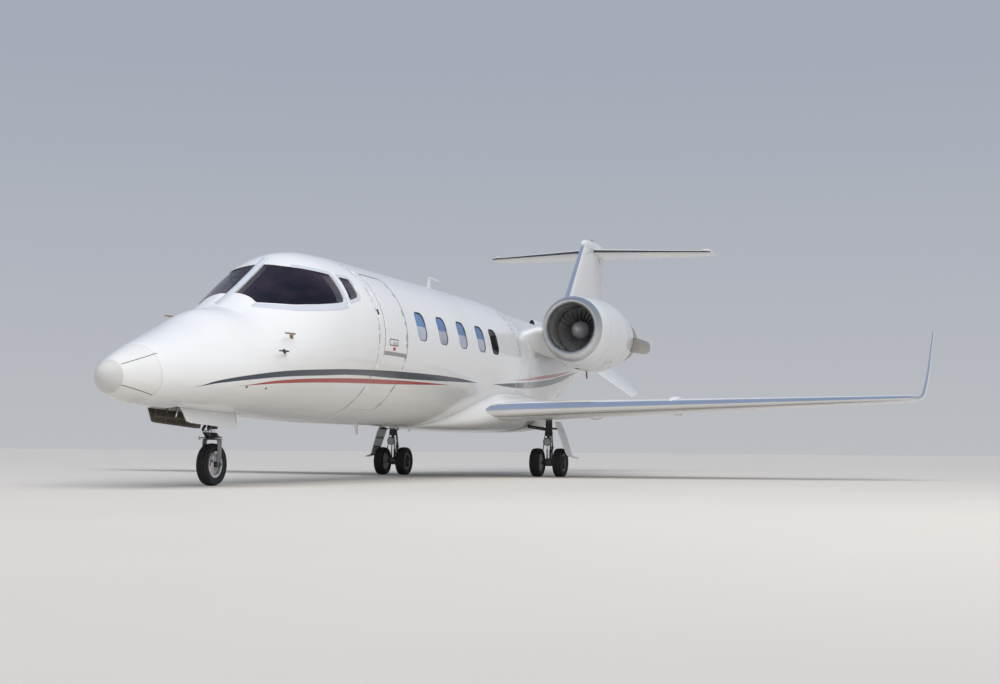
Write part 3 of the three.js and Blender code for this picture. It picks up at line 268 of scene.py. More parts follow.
def rounded(corners, radius, steps=6):
    """A closed outline of (u, v) corners with rounded turns."""
    out = []
    n = len(corners)
    for i, (u, v) in enumerate(corners):
        corner = Vector((u, v))
        before = Vector(corners[i - 1]) - corner
        after = Vector(corners[(i + 1) % n]) - corner
        r = min(radius, before.length * 0.49, after.length * 0.49)
        start = corner + before.normalized() * r
        end = corner + after.normalized() * r
        for k in range(steps + 1):
            t = k / steps
            out.append(tuple(start * (1 - t) ** 2 + corner * 2 * t * (1 - t) + end * t * t))
    return out


def sweep(path, normals, profile, closed=True):
    """A profile of (across, out) offsets carried along a path on a surface."""
    n = len(path)
    rings = []
    for i, (p, normal) in enumerate(zip(path, normals)):
        before = path[i - 1] if i or closed else p
        after = path[(i + 1) % n] if i + 1 < n or closed else p
        tangent = (after - before).normalized()
        across = normal.cross(tangent).normalized()
        rings.append([p + across * u + normal * w for u, w in profile])
    return loft(rings, loop=closed)


def mesh_of(name, shape):
    mesh = bpy.data.meshes.new(name)
    mesh.from_pydata([tuple(p) for p in shape[0]], [], shape[1])
    return mesh


def turn_outward(mesh, weld=0.0):
    """Turns a mesh's faces outward, after points closer than the weld are joined."""
    bm = bmesh.new()
    bm.from_mesh(mesh)
    if weld:
        bmesh.ops.remove_doubles(bm, verts=bm.verts, dist=weld)
    bmesh.ops.recalc_face_normals(bm, faces=bm.faces)
    bm.to_mesh(mesh)
    bm.free()


def piece(name, parts, body, replaces=(), crease=CREASE):
    """A named object from (shape, material) pairs, riding on a body."""
    materials, looks = [], []
    for shape, material in parts:
        if material not in materials:
            materials.append(material)
        looks += [materials.index(material)] * len(shape[1])
    mesh = mesh_of(name, merged(*(shape for shape, _ in parts)))
    mesh.polygons.foreach_set("material_index", looks)
    for material in materials:
        mesh.materials.append(material)
    turn_outward(mesh, WELD)
    mesh.shade_smooth()
    mesh.set_sharp_from_angle(angle=math.radians(crease))
    thing = put(name, mesh)
    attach(thing, body)
    if replaces:
        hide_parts(*replaces)
    return thing


def bent_normals(result, points, polygons, normals):
    """Normals for a cut mesh: those of the old skin where it is left, and flat ones on the cuts."""
    tree = BVHTree.FromPolygons(points, polygons)
    bend = []
    for polygon in result.polygons:
        flat = polygon.normal
        for vertex in polygon.vertices:
            co = result.vertices[vertex].co
            _, near, index, distance = tree.find_nearest(co)
            normal = flat
            if index is not None and distance < ON_SKIN and near.dot(flat) > SAME_WAY:
                total = Vector((0, 0, 0))
                for corner in polygons[index]:
                    total += normals[corner] / ((points[corner] - co).length_squared + 1e-9)
                if total.length > 0:
                    normal = total.normalized()
            bend.append(normal)
    return bend


def carve(thing, *shapes, operation="DIFFERENCE"):
    """Cuts each shape out of a piece, and keeps the shading of the skin that is left."""
    mesh = thing.data
    bpy.context.view_layer.update()
    points = [v.co.copy() for v in mesh.vertices]
    polygons = [tuple(p.vertices) for p in mesh.polygons]
    normals = [v.normal.copy() for v in mesh.vertices]
    cutting = []
    for shape in shapes:
        cutter = put("cutter", mesh_of("cutter", shape))
        turn_outward(cutter.data)
        cutting.append(cutter)
        modifier = thing.modifiers.new("cut", "BOOLEAN")
        modifier.operation = operation
        modifier.solver = "EXACT"
        modifier.object = cutter
    graph = bpy.context.evaluated_depsgraph_get()
    result = bpy.data.meshes.new_from_object(thing.evaluated_get(graph))
    thing.modifiers.clear()
    for cutter in cutting:
        drop(cutter)
    name = mesh.name
    thing.data = result
    bpy.data.meshes.remove(mesh)
    result.name = name
    result.shade_smooth()
    result.set_sharp_from_angle(angle=math.radians(CREASE))
    result.normals_split_custom_set(bent_normals(result, points, polygons, normals))
    return thing


def keep_common(thing, shape):
    return carve(thing, shape, operation="INTERSECT")


def drop(thing):
    mesh = thing.data
    bpy.data.objects.remove(thing)
    bpy.data.meshes.remove(mesh)


def shape_of(thing):
    """Takes the points and faces out of an object that was only a step on the way, and deletes it."""
    shape = [v.co.copy() for v in thing.data.vertices], [list(p.vertices) for p in thing.data.polygons]
    drop(thing)
    return shape


def common(a, b):
    """What two shapes share."""
    return shape_of(keep_common(put("step", mesh_of("step", a)), b))


# Curves through tables
def monotone(knots, values):
    """A smooth curve through a table that doesn't overshoot, as a function of one number."""
    x = np.array(knots, float)
    y = np.array(values, float)
    h = np.diff(x)
    slope = np.diff(y) / h
    m = np.zeros(len(x))
    m[0], m[-1] = slope[0], slope[-1]
    for i in range(1, len(x) - 1):
        if slope[i - 1] * slope[i] > 0:
            w1 = 2 * h[i] + h[i - 1]
            w2 = h[i] + 2 * h[i - 1]
            m[i] = (w1 + w2) / (w1 / slope[i - 1] + w2 / slope[i])

    def value(t):
        i = int(np.clip(np.searchsorted(x, t) - 1, 0, len(h) - 1))
        s = min(max((t - x[i]) / h[i], 0), 1)
        return float((1 + 2 * s) * (1 - s) ** 2 * y[i] + s * (1 - s) ** 2 * h[i] * m[i]
                     + s * s * (3 - 2 * s) * y[i + 1] + s * s * (s - 1) * h[i] * m[i + 1])

    return value


def curves(rows, knots=None):
    """A table's columns as curves: of its first column, or of the knots given for its rows."""
    columns = list(zip(*rows))
    if knots is None:
        knots, *columns = columns
    return [monotone(knots, column) for column in columns]


def along_rows(rows, i, j):
    """How far each row of a table lies along its path through columns i and j."""
    knots = [0.0]
    for a, b in zip(rows, rows[1:]):
        knots.append(knots[-1] + math.dist((a[i], a[j]), (b[i], b[j])))
    return knots


def lerp(a, b, t):
    return a + (b - a) * t


def filled(points, steps):
    """A path of (u, v) points with steps spots on each stretch."""
    out = []
    for a, b in zip(points, points[1:]):
        out += [(lerp(a[0], b[0], k / steps), lerp(a[1], b[1], k / steps)) for k in range(steps)]
    return out + [points[-1]]


# Hull sections: station, half width, bottom, top, height of the widest point, and how full the
# shoulders are: 2 is an ellipse, and less is flatter, as beside the windshields
HULL = [
    (0, 0, 1.050, 1.050, 1.050, 2),
    (0.02, 0.062, 0.980, 1.116, 1.050, 2),
    (0.06, 0.105, 0.932, 1.156, 1.046, 2),
    (0.14, 0.160, 0.884, 1.202, 1.038, 2),
    (0.30, 0.238, 0.840, 1.278, 1.032, 2),
    (0.52, 0.328, 0.806, 1.368, 1.038, 2),
    (0.90, 0.462, 0.774, 1.500, 1.062, 2),
    (1.30, 0.592, 0.756, 1.650, 1.105, 1.88),
    (1.70, 0.688, 0.745, 1.808, 1.165, 1.8),
    (2.00, 0.750, 0.739, 1.858, 1.225, 1.8),
    (2.40, 0.820, 0.732, 2.052, 1.330, 1.8),
    (2.85, 0.884, 0.720, 2.320, 1.440, 1.9),
    (3.30, 0.934, 0.706, 2.575, 1.545, 1.92),
    (3.70, 0.964, 0.697, 2.639, 1.615, 1.93),
    (4.10, 0.982, 0.691, 2.648, 1.668, 2),
    (4.50, 0.985, 0.690, 2.646, 1.675, 2),
    (9.25, 0.985, 0.690, 2.622, 1.675, 2),
    (9.75, 0.935, 0.690, 2.600, 1.690, 2),
    (10.30, 0.795, 0.694, 2.582, 1.715, 2),
    (10.90, 0.690, 0.725, 2.564, 1.745, 2),
    (11.60, 0.640, 0.810, 2.546, 1.775, 2),
    (12.40, 0.600, 1.000, 2.528, 1.840, 2),
    (13.20, 0.552, 1.218, 2.514, 1.910, 2),
    (14.40, 0.455, 1.545, 2.492, 2.035, 2),
    (15.60, 0.330, 1.870, 2.456, 2.170, 2),
    (16.50, 0.212, 2.108, 2.425, 2.268, 2),
    (17.00, 0.090, 2.262, 2.402, 2.330, 2),
]
RADOME_END = 0.52
FRONT_END = 4.10
CABIN_END = 9.25
TAIL_END = 17.0
SMOOTHING = 0.03
FINE = 0.005


def smoothed_columns():
    """The hull's measures along the root of the station, with their corners eased."""
    roots = [math.sqrt(row[0]) for row in HULL]
    steps = np.arange(0, math.sqrt(TAIL_END) + FINE, FINE)
    reach = int(4 * SMOOTHING / FINE)
    weights = np.exp(-0.5 * (np.arange(-reach, reach + 1) * FINE / SMOOTHING) ** 2)
    weights /= weights.sum()
    columns = []
    for k in range(1, 6):
        curve = monotone(roots, [row[k] for row in HULL])
        values = np.array([curve(t) for t in steps])
        front = 2 * values[0] - values[reach:0:-1]
        back = 2 * values[-1] - values[-2:-reach - 2:-1]
        columns.append(np.convolve(np.concatenate([front, values, back]), weights, "valid"))
    return steps, columns


HULL_STEPS, HULL_COLUMNS = smoothed_columns()


def hull_at(station):
    """Half width, bottom, top, widest height and fullness at a station."""
    root = math.sqrt(max(station, 0))
    return [float(np.interp(root, HULL_STEPS, column)) for column in HULL_COLUMNS]


def hull_point(station, angle, inset=0.0):
    """A point on the hull's skin; the angle is measured from port over the top."""
    half, bottom, top, widest, full = hull_at(station)
    x, z = squared(angle, 2 / full if math.sin(angle) > 0 else 1)
    height = (top - widest if math.sin(angle) > 0 else widest - bottom) - inset
    return at((half - inset) * x, station, widest + height * z)


def hull_side(station, z):
    """How far the skin lies from the middle at a height, on the port side."""
    half, bottom, top, widest, full = hull_at(station)
    if z > widest:
        share = min((z - widest) / (top - widest), 1)
        return half * (1 - share ** full) ** (1 / full)
    share = min((widest - z) / (widest - bottom), 1)
    return half * math.sqrt(1 - share * share)


def hull_crown(station, x):
    """The height of the upper skin at a distance from the middle."""
    half, _, top, widest, full = hull_at(station)
    share = min(abs(x) / half, 1)
    return widest + (top - widest) * (1 - share ** full) ** (1 / full)


def hull_normal(point):
    """The skin's outward direction near a point."""
    station = point.y + HALF_LENGTH
    half, bottom, top, widest, full = hull_at(station)
    up = point.z > widest
    height = top - widest if up else widest - bottom
    c = point.x / half
    s = (point.z - widest) / height
    length = math.hypot(c, s) or 1
    power = 2 / full if up else 1
    angle = math.atan2(math.copysign(abs(s) ** (1 / power), s), math.copysign(abs(c) ** (1 / power), c))
    e = 0.01
    a = hull_point(station, angle + e) - hull_point(station, angle - e)
    b = hull_point(station + e, angle) - hull_point(max(station - e, 0), angle)
    return a.cross(b).normalized() * (-1 if a.cross(b).dot(Vector((point.x, 0, s * length))) < 0 else 1)


def hull_ring(station, sides, inset=0.0):
    return [hull_point(station, a, inset) for a in turns(sides)]


def hull_rings(start, end, spacing, sides, inset=0.0):
    count = max(2, round((end - start) / spacing))
    return [hull_ring(lerp(start, end, i / count), sides, inset) for i in range(count + 1)]


def side_prism(outline, low, high):
    """A prism across the hull, from x = low to x = high, over an outline of (station, height)."""
    return prism(outline, lambda u, v, w: at(w, u, v), low, high)


# Materials: each is a small tree of nodes over the piece's own coordinates
class Look:
    def __init__(self, name):
        self.material = bpy.data.materials.new(name)
        self.material.use_nodes = True
        self.tree = self.material.node_tree
        self.tree.nodes.clear()
        self.shader = self.add("ShaderNodeBsdfPrincipled")
        out = self.add("ShaderNodeOutputMaterial")
        self.tree.links.new(self.shader.outputs[0], out.inputs[0])
        self.place = self.add("ShaderNodeTexCoord").outputs["Object"]

    def add(self, kind, **settings):
        made = self.tree.nodes.new(kind)
        for key, value in settings.items():
            setattr(made, key, value)
        return made

    def feed(self, socket, value):
        if hasattr(value, "is_output"):
            self.tree.links.new(value, socket)
        elif isinstance(value, tuple) and len(value) == 3 and socket.type == "RGBA":
            socket.default_value = (*value, 1)
        else:
            socket.default_value = value

    def math(self, operation, a, b=0.0, clamp=False):
        made = self.add("ShaderNodeMath", operation=operation, use_clamp=clamp)
        self.feed(made.inputs[0], a)
        self.feed(made.inputs[1], b)
        return made.outputs[0]

    def mix(self, share, a, b):
        made = self.add("ShaderNodeMix", data_type="RGBA")
        self.feed(made.inputs[0], share)
        self.feed(made.inputs[6], a)
        self.feed(made.inputs[7], b)
        return made.outputs[2]

    def range(self, value, low, high, to_low=0.0, to_high=1.0):
        made = self.add("ShaderNodeMapRange", clamp=True)
        for socket, number in zip(made.inputs, (value, low, high, to_low, to_high)):
            self.feed(socket, number)
        return made.outputs[0]

    def stretched(self, stretch):
        made = self.add("ShaderNodeMapping")
        self.feed(made.inputs[0], self.place)
        made.inputs["Scale"].default_value = stretch
        return made.outputs[0]

    def noise(self, scale, detail=4.0, stretch=None, rough=0.55):
        made = self.add("ShaderNodeTexNoise")
        self.feed(made.inputs["Vector"], self.stretched(stretch) if stretch else self.place)
        made.inputs["Scale"].default_value = scale
        made.inputs["Detail"].default_value = detail
        made.inputs["Roughness"].default_value = rough
        return made.outputs[0]

    def axes(self):
        made = self.add("ShaderNodeSeparateXYZ")
        self.feed(made.inputs[0], self.place)
        return made.outputs

    def curve(self, value, points):
        """A curve through (0..1, 0..1) points."""
        made = self.add("ShaderNodeFloatCurve")
        line = made.mapping.curves[0]
        line.points[0].location = points[0]
        line.points[1].location = points[-1]
        for point in points[1:-1]:
            line.points.new(*point)
        made.mapping.update()
        self.feed(made.inputs["Value"], value)
        return made.outputs[0]

    def bump(self, height, strength, distance):
        made = self.add("ShaderNodeBump")
        made.inputs["Strength"].default_value = strength
        made.inputs["Distance"].default_value = distance
        self.feed(made.inputs["Height"], height)
        self.feed(self.shader.inputs["Normal"], made.outputs[0])

    def set(self, **values):
        names = {"color": "Base Color", "rough": "Roughness", "metal": "Metallic", "coat": "Coat Weight",
                 "coat_rough": "Coat Roughness", "ior": "IOR", "alpha": "Alpha"}
        for key, value in values.items():
            self.feed(self.shader.inputs[names[key]], value)
        return self


def shade(color, factor):
    return tuple(min(c * factor, 1) for c in color)


def finish(name, color, rough, metal=0.0, coat=0.0, tone=0.08, patch=2.0, grain=90.0, depth=0.0004,
           streak=None, grime=None):
    """A surface with patches of tone, uneven roughness and a fine grain."""
    look = Look(name)
    patches = look.noise(patch, 5, streak)
    fine = look.noise(grain, 3, streak)
    base = look.mix(look.range(patches, 0.3, 0.7), shade(color, 1 - tone), shade(color, 1 + tone))
    if grime:
        spots = look.range(look.noise(patch * 4, 8), 0.52, 0.75)
        base = look.mix(look.math("MULTIPLY", spots, 0.6), base, grime)
    look.set(color=base, metal=metal, coat=coat, coat_rough=0.06,
             rough=look.range(look.math("ADD", patches, look.math("MULTIPLY", fine, 0.5)), 0.45, 1.05,
                              rough * 0.8, rough * 1.25))
    look.bump(fine, 0.25, depth)
    return look.material


WHITE = (0.80, 0.80, 0.785)
# Tan of the streaks low on the paint: a dirt colour that is also painted warm light bounced up from the floor
DUST_AND_GROUND_BOUNCE = (0.62, 0.56, 0.47)
SEAM_INK = (0.16, 0.15, 0.14)
SEAM_HALF = 0.0022
EDGE_SHARPNESS = 1500
SLATE = (0.020, 0.034, 0.056)
RED = (0.36, 0.010, 0.008)
STRIPE_START = 0.6
STRIPE_SPAN = 14.4
STRIPE_TOP = 3.0
# Stripes along the hull: colour, then rows of station, lower edge, upper edge
STRIPES = [
    (SLATE, [(0.82, 0.962, 0.962), (1.20, 1.022, 1.052), (1.76, 1.088, 1.142), (2.25, 1.134, 1.198),
             (3.0, 1.182, 1.250), (3.5, 1.212, 1.277), (5.0, 1.237, 1.321), (6.8, 1.281, 1.332),
             (7.68, 1.302, 1.302)]),
    (RED, [(1.36, 1.000, 1.000), (2.13, 1.058, 1.092), (3.08, 1.108, 1.157), (4.7, 1.160, 1.213),
           (5.7, 1.196, 1.228), (6.8, 1.234, 1.234)]),
    (SLATE, [(8.1, 1.312, 1.312), (8.8, 1.300, 1.350), (9.7, 1.312, 1.402), (11.6, 1.422, 1.522),
             (12.65, 1.542, 1.638), (14.3, 1.794, 1.794)]),
    (RED, [(8.8, 1.405, 1.405), (9.8, 1.435, 1.462), (11.03, 1.506, 1.556), (12.28, 1.612, 1.662),
           (13.8, 1.78, 1.78)]),
]


def stripe_mask(look, station, height, rows):
    """1 between a stripe's two edges, 0 elsewhere."""
    share = look.math("DIVIDE", look.math("SUBTRACT", station, STRIPE_START), STRIPE_SPAN)
    ends = [(0, rows[0][1], rows[0][2])]
    ends += [((s - STRIPE_START) / STRIPE_SPAN, low, high) for s, low, high in rows]
    ends += [(1, rows[-1][1], rows[-1][2])]
    low = look.curve(share, [(s, z / STRIPE_TOP) for s, z, _ in ends])
    high = look.curve(share, [(s, z / STRIPE_TOP) for s, _, z in ends])
    z = look.math("DIVIDE", height, STRIPE_TOP)
    above = look.math("MULTIPLY", look.math("SUBTRACT", z, low), EDGE_SHARPNESS, True)
    below = look.math("MULTIPLY", look.math("SUBTRACT", high, z), EDGE_SHARPNESS, True)
    inside = look.math("MULTIPLY", look.math("GREATER_THAN", station, rows[0][0]),
                       look.math("LESS_THAN", station, rows[-1][0]))
    return look.math("MULTIPLY", look.math("MULTIPLY", above, below), inside)


def paint(name, color=WHITE, stripes=(), dust_and_bounce=0.06, seams=()):
    """Glossy aircraft paint: faint orange peel, soft patches, low tan streaks of dirt and painted bounce
    light, and hull stripes.
    """
    look = Look(name)
    _, y, z = look.axes()
    patches = look.noise(0.9, 6)
    base = look.mix(look.range(patches, 0.35, 0.65), shade(color, 0.985), shade(color, 1.015))
    # Tan streaks that grow towards the bottom: part dirt, part painted warm bounce light from the floor
    streaks = look.range(look.noise(3.2, 6, (1.0, 0.25, 2.2)), 0.5, 0.8)
    low = look.range(z, 1.9, 0.7)
    dusty_and_bounce_lit = look.math("MULTIPLY", look.math("MULTIPLY", streaks, low), dust_and_bounce * 6, True)
    base = look.mix(dusty_and_bounce_lit, base, DUST_AND_GROUND_BOUNCE)
    station = look.math("ADD", y, HALF_LENGTH)
    rough = look.range(patches, 0.3, 0.7, 0.16, 0.24)
    for stripe_color, rows in stripes:
        base = look.mix(stripe_mask(look, station, z, rows), base, stripe_color)
    for seam in seams:
        line = look.math("LESS_THAN", look.math("ABSOLUTE", look.math("SUBTRACT", station, seam)), SEAM_HALF)
        base = look.mix(look.math("MULTIPLY", line, 0.72), base, SEAM_INK)
    look.set(color=base, rough=rough, coat=0.55, coat_rough=0.03, ior=1.5)
    look.bump(look.noise(55, 2), 0.05, 0.0006)
    return look.material


WHITE_PAINT = paint("white_paint", stripes=STRIPES, seams=(RADOME_END, CABIN_END, 10.44, 13.05, 15.4))
PLAIN_WHITE = paint("plain_white_paint")
RADOME_PAINT = paint("radome_paint", (0.77, 0.765, 0.74), dust_and_bounce=0.1)
CAP_GREY = finish("nose_cap_grey", (0.62, 0.61, 0.58), 0.36, coat=0.2, tone=0.05)
POLISHED = finish("polished_metal", (0.78, 0.785, 0.79), 0.13, metal=1.0, tone=0.05, patch=1.3, grain=140,
                  depth=0.0001, streak=(1, 0.15, 0.15))
LIP_METAL = finish("inlet_lip_metal", (0.66, 0.655, 0.63), 0.42, metal=1.0, tone=0.08, patch=2.5, grain=160,
                   depth=0.0002)
DARK_METAL = finish("dark_metal", (0.06, 0.06, 0.062), 0.42, metal=0.7, tone=0.2, patch=6)
DUCT_METAL = finish("duct_metal", (0.36, 0.355, 0.34), 0.5, metal=0.3, tone=0.15, patch=4)
FAN_METAL = finish("fan_metal", (0.62, 0.62, 0.63), 0.45, metal=0.7, tone=0.15, patch=8, streak=(1, 1, 1))
SPINNER_GREY = finish("spinner_grey", (0.52, 0.52, 0.525), 0.42, coat=0.2, tone=0.06)
WARM_METAL = finish("warm_metal", (0.46, 0.43, 0.385), 0.36, metal=0.75, tone=0.14, patch=5,
                    grime=(0.25, 0.2, 0.15))
BURNT_METAL = finish("burnt_metal", (0.21, 0.185, 0.16), 0.45, metal=0.9, tone=0.25, patch=5,
                     grime=(0.1, 0.08, 0.07))
LEG_PAINT = finish("leg_paint", (0.42, 0.43, 0.44), 0.33, metal=0.25, coat=0.15, tone=0.1, patch=7,
                   grime=(0.16, 0.14, 0.12))
DARK_GEAR = finish("dark_gear", (0.07, 0.07, 0.075), 0.4, metal=0.4, tone=0.2, patch=9,
                   grime=(0.02, 0.018, 0.016))
DOOR_INNER = finish("door_inner", (0.085, 0.072, 0.052), 0.55, tone=0.2, patch=8, grime=(0.03, 0.025, 0.02))
DOOR_RIB = finish("door_rib", (0.16, 0.14, 0.11), 0.5, tone=0.2, patch=8, grime=(0.05, 0.04, 0.03))
FORK_METAL = finish("fork_metal", (0.20, 0.20, 0.205), 0.30, metal=0.5, coat=0.2, tone=0.15, patch=8,
                    grime=(0.06, 0.055, 0.05))
LEG_DARK = finish("leg_dark_paint", (0.085, 0.085, 0.088), 0.36, metal=0.3, coat=0.15, tone=0.15, patch=7,
                  grime=(0.05, 0.045, 0.04))
MAIN_RIM_METAL = finish("main_rim_metal", (0.16, 0.16, 0.165), 0.38, metal=0.6, tone=0.12, patch=12,
                        grime=(0.05, 0.045, 0.04))
CHROME = finish("chrome", (0.82, 0.82, 0.83), 0.07, metal=1.0, tone=0.03, patch=9, grain=200, depth=0.00005)
WHEEL_METAL = finish("wheel_metal", (0.66, 0.66, 0.66), 0.26, metal=0.85, tone=0.08, patch=12,
                     grime=(0.3, 0.27, 0.24))
RUBBER = finish("tyre_rubber", (0.014, 0.014, 0.015), 0.72, tone=0.25, patch=9, grain=240, depth=0.0008,
                grime=(0.045, 0.04, 0.035))
# Black rubber of hoses and wicks; also the disc over the dorsal scoop's mouth, which is painted shade
BLACK_RUBBER_AND_SHADE = finish("black_rubber_and_painted_shade", (0.018, 0.018, 0.02), 0.6, tone=0.2, patch=14)
BOOT_RUBBER = finish("boot_rubber", (0.06, 0.062, 0.068), 0.42, tone=0.15, patch=5)
BRASS = finish("probe_brass", (0.5, 0.37, 0.2), 0.32, metal=1.0, tone=0.15, patch=20)
LEATHER = finish("seat_leather", (0.42, 0.31, 0.21), 0.5, tone=0.12, patch=5, grain=420, depth=0.0012)
CARPET = finish("carpet", (0.30, 0.25, 0.20), 0.95, tone=0.18, patch=30, grain=700, depth=0.003)
LINING = finish("cabin_lining", (0.62, 0.58, 0.51), 0.7, tone=0.05, patch=3, grain=300)
# Black of the instrument panel and yokes; also the sheet behind the last cabin window, which is painted shade
PANEL_AND_SHADE_BLACK = finish("panel_black_and_painted_shade", (0.02, 0.02, 0.022), 0.55, tone=0.2, patch=9, grain=300)
SCREEN_GLASS = finish("screen_glass", (0.012, 0.02, 0.03), 0.08, coat=1.0, tone=0.1)
BLIND = finish("window_blind", (0.66, 0.66, 0.64), 0.65, tone=0.05, patch=8, grain=160, streak=(0.2, 0.2, 6))
RED_PLASTIC = finish("red_plastic", (0.45, 0.03, 0.02), 0.4, coat=0.3, tone=0.1)
SEAL = finish("window_seal", (0.05, 0.05, 0.052), 0.5, tone=0.15, patch=20)
# Pale frame paint; its bluish cast is a painted sky reflection
FRAME_PAINT_AND_SKY = finish("window_frame_paint_and_painted_sky", (0.74, 0.77, 0.80), 0.16, metal=0.25, coat=0.6, tone=0.04,
                     patch=3, grain=160, depth=0.0001)
SEAM_GREY = finish("panel_seam", (0.33, 0.32, 0.31), 0.6, tone=0.15, patch=20)


def glass(name, color, alpha, rough=0.03, other=None):
    """A tinted pane: the tint drifts from one colour to the other, with faint smears in its gloss. The cabin
    panes' colours are painted light and shade: a sky reflection, lit blinds, and the dark of the cabin.
    """
    look = Look(name)
    smears = look.noise(4, 5, (1, 0.4, 1))
    tint = look.mix(look.range(smears, 0.35, 0.7), shade(color, 0.8), shade(color, 1.25))
    if other:
        tint = look.mix(look.range(look.noise(1.6, 3, (1, 0.6, 1.4)), 0.40, 0.62), tint, other)
    look.set(color=tint, rough=look.range(smears, 0.3, 0.8, rough, rough * 2.5), alpha=alpha, ior=1.5)
    look.bump(look.noise(3, 2), 0.03, 0.001)
    return look.material


WINDSHIELD_GLASS = glass("windshield_glass", (0.004, 0.004, 0.012), 0.45, other=(0.060, 0.030, 0.052))
# Cabin panes: the blue of the upper half is a painted sky reflection, and the pale lower half is painted
# light on the shaded blind behind it
SKY_REFLECTION_GLASS = glass("cabin_glass", (0.17, 0.31, 0.58), 0.62)
LIT_BLIND_GLASS = glass("cabin_glass_painted_lit_blind", (0.52, 0.55, 0.64), 0.70)
# Near-black glass of the last cabin window: painted shade of the unlit cabin behind it
SHADE_PAINTED_GLASS = glass("cabin_glass_painted_shade", (0.004, 0.004, 0.006), 0.95)
LAMP_GLASS = glass("lamp_glass", (0.75, 0.78, 0.8), 0.45)
RED_LENS = glass("red_lens", (0.5, 0.01, 0.01), 0.9)
FLOOR_RADIUS = 220


def build_stage():
    floor_look = finish("studio_floor", (0.62, 0.585, 0.53), 0.85, tone=0.02, patch=0.25, grain=30,
                        depth=0.001)
    ring = [Vector((FLOOR_RADIUS * math.cos(a), FLOOR_RADIUS * math.sin(a), 0)) for a in turns(96)]
    mesh = mesh_of("studio_floor", (ring, [list(range(len(ring)))]))
    mesh.materials.append(floor_look)
    put("studio_floor", mesh)

    world = bpy.data.worlds.new("studio")
    bpy.context.scene.world = world
    world.use_nodes = True
    tree = world.node_tree
    background = tree.nodes["Background"]
    direction = tree.nodes.new("ShaderNodeTexCoord")
    split = tree.nodes.new("ShaderNodeSeparateXYZ")
    ramp = tree.nodes.new("ShaderNodeValToRGB")
    tree.links.new(direction.outputs["Generated"], split.inputs[0])
    tree.links.new(split.outputs[2], ramp.inputs[0])
    tree.links.new(ramp.outputs[0], background.inputs[0])
    elements = ramp.color_ramp.elements
    elements[0].position, elements[0].color = 0.0, (0.80, 0.82, 0.86, 1)
    elements[1].position, elements[1].color = 1.0, (0.46, 0.59, 0.88, 1)
    elements.new(0.25).color = (0.60, 0.66, 0.78, 1)
    background.inputs[1].default_value = 0.62

    def lamp(name, kind, energy, color, aim, place=(0, 0, 0)):
        data = bpy.data.lights.new(name, kind)
        data.energy = energy
        data.color = color
        made = put(name, data)
        made.location = place
        made.rotation_euler = Vector(aim).to_track_quat("-Z", "Y").to_euler()
        made.visible_glossy = False
        return data

    for name, place, target, size, energy, color in (
            ("key", (12, -14, 11), (0, -2, 1.6), (6, 7), 820, (1.0, 0.96, 0.90)),
            ("fill", (-14, -10, 7), (0, 0, 1.5), (10, 8), 150, (0.88, 0.94, 1.0))):
        data = lamp(name, "AREA", energy, color, Vector(target) - Vector(place), place)
        data.shape = "RECTANGLE"
        data.size, data.size_y = size
    overcast = lamp("overcast", "SUN", 2.0, (1.0, 0.965, 0.91), (-0.25, 0.30, -1))
    overcast.angle = math.radians(70)
    bpy.context.scene.view_settings.view_transform = "Standard"


# Doorway and windows: outlines as (station, height), seen from the side
DOOR = (4.26, 4.90)
DOOR_BOTTOM = 0.860
DOOR_SPLIT = 1.490
DOOR_TOP = 2.430
DOOR_CORNER = 0.07
DOOR_WAIST = 1.675
WINDSHIELD = [(2.10, 1.925), (2.10, 2.06), (2.96, 2.47), (3.02, 2.40), (3.244, 2.361),
              (3.483, 2.338), (3.437, 2.025), (3.31, 1.998), (2.98, 1.955), (2.64, 1.923)]
SIDE_WINDOW = [(3.612, 2.330), (3.823, 2.317), (3.788, 2.110), (3.556, 2.049)]
POST_HALF = 0.045
CABIN_WINDOWS = [5.41, 6.13, 6.85, 7.57, 8.13]
EXTRA_WINDOW = 4.69
WINDOW_WIDTH = 0.32
WINDOW_LOW, WINDOW_HIGH = 1.72, 2.08
WINDOWS = {"left": CABIN_WINDOWS, "right": [EXTRA_WINDOW] + CABIN_WINDOWS}
SLICE = 0.0001


def beside_post():
    """The room outboard of the centre post."""
    return block(at(POST_HALF, 1.9, 1.7), at(1.2, 3.8, 2.7), SLICE, 1)


def window_outline(middle, grow=0.0):
    half = WINDOW_WIDTH / 2 + grow
    low, high = WINDOW_LOW - grow, WINDOW_HIGH + grow
    corners = [(middle - half, low), (middle + half, low), (middle + half, high), (middle - half, high)]
    return rounded(corners, 0.115 + grow, 8)


def hull_shell(start, end, spacing, wall, sides=144):
    """A length of hull as two shapes, its painted skin and the lining inside."""
    outer = hull_rings(start, end, spacing, sides)
    inner = hull_rings(start, end, spacing * 2, sides, wall)
    points, faces = loft(outer + inner[::-1], loop=True)
    painted = len(outer) * sides
    skin = [face for face in faces if all(i < painted for i in face)]
    lining = [face for face in faces if not all(i < painted for i in face)]
    return (points, skin), (points, lining)


def pane(start, end, low=0.010, high=0.020):
    """A thin curved sheet just below the skin, over a stretch of the hull."""
    outer = hull_rings(start, end, 0.05, 160, low)
    inner = hull_rings(start, end, 0.05, 160, high)
    return loft(outer + inner[::-1], loop=True)


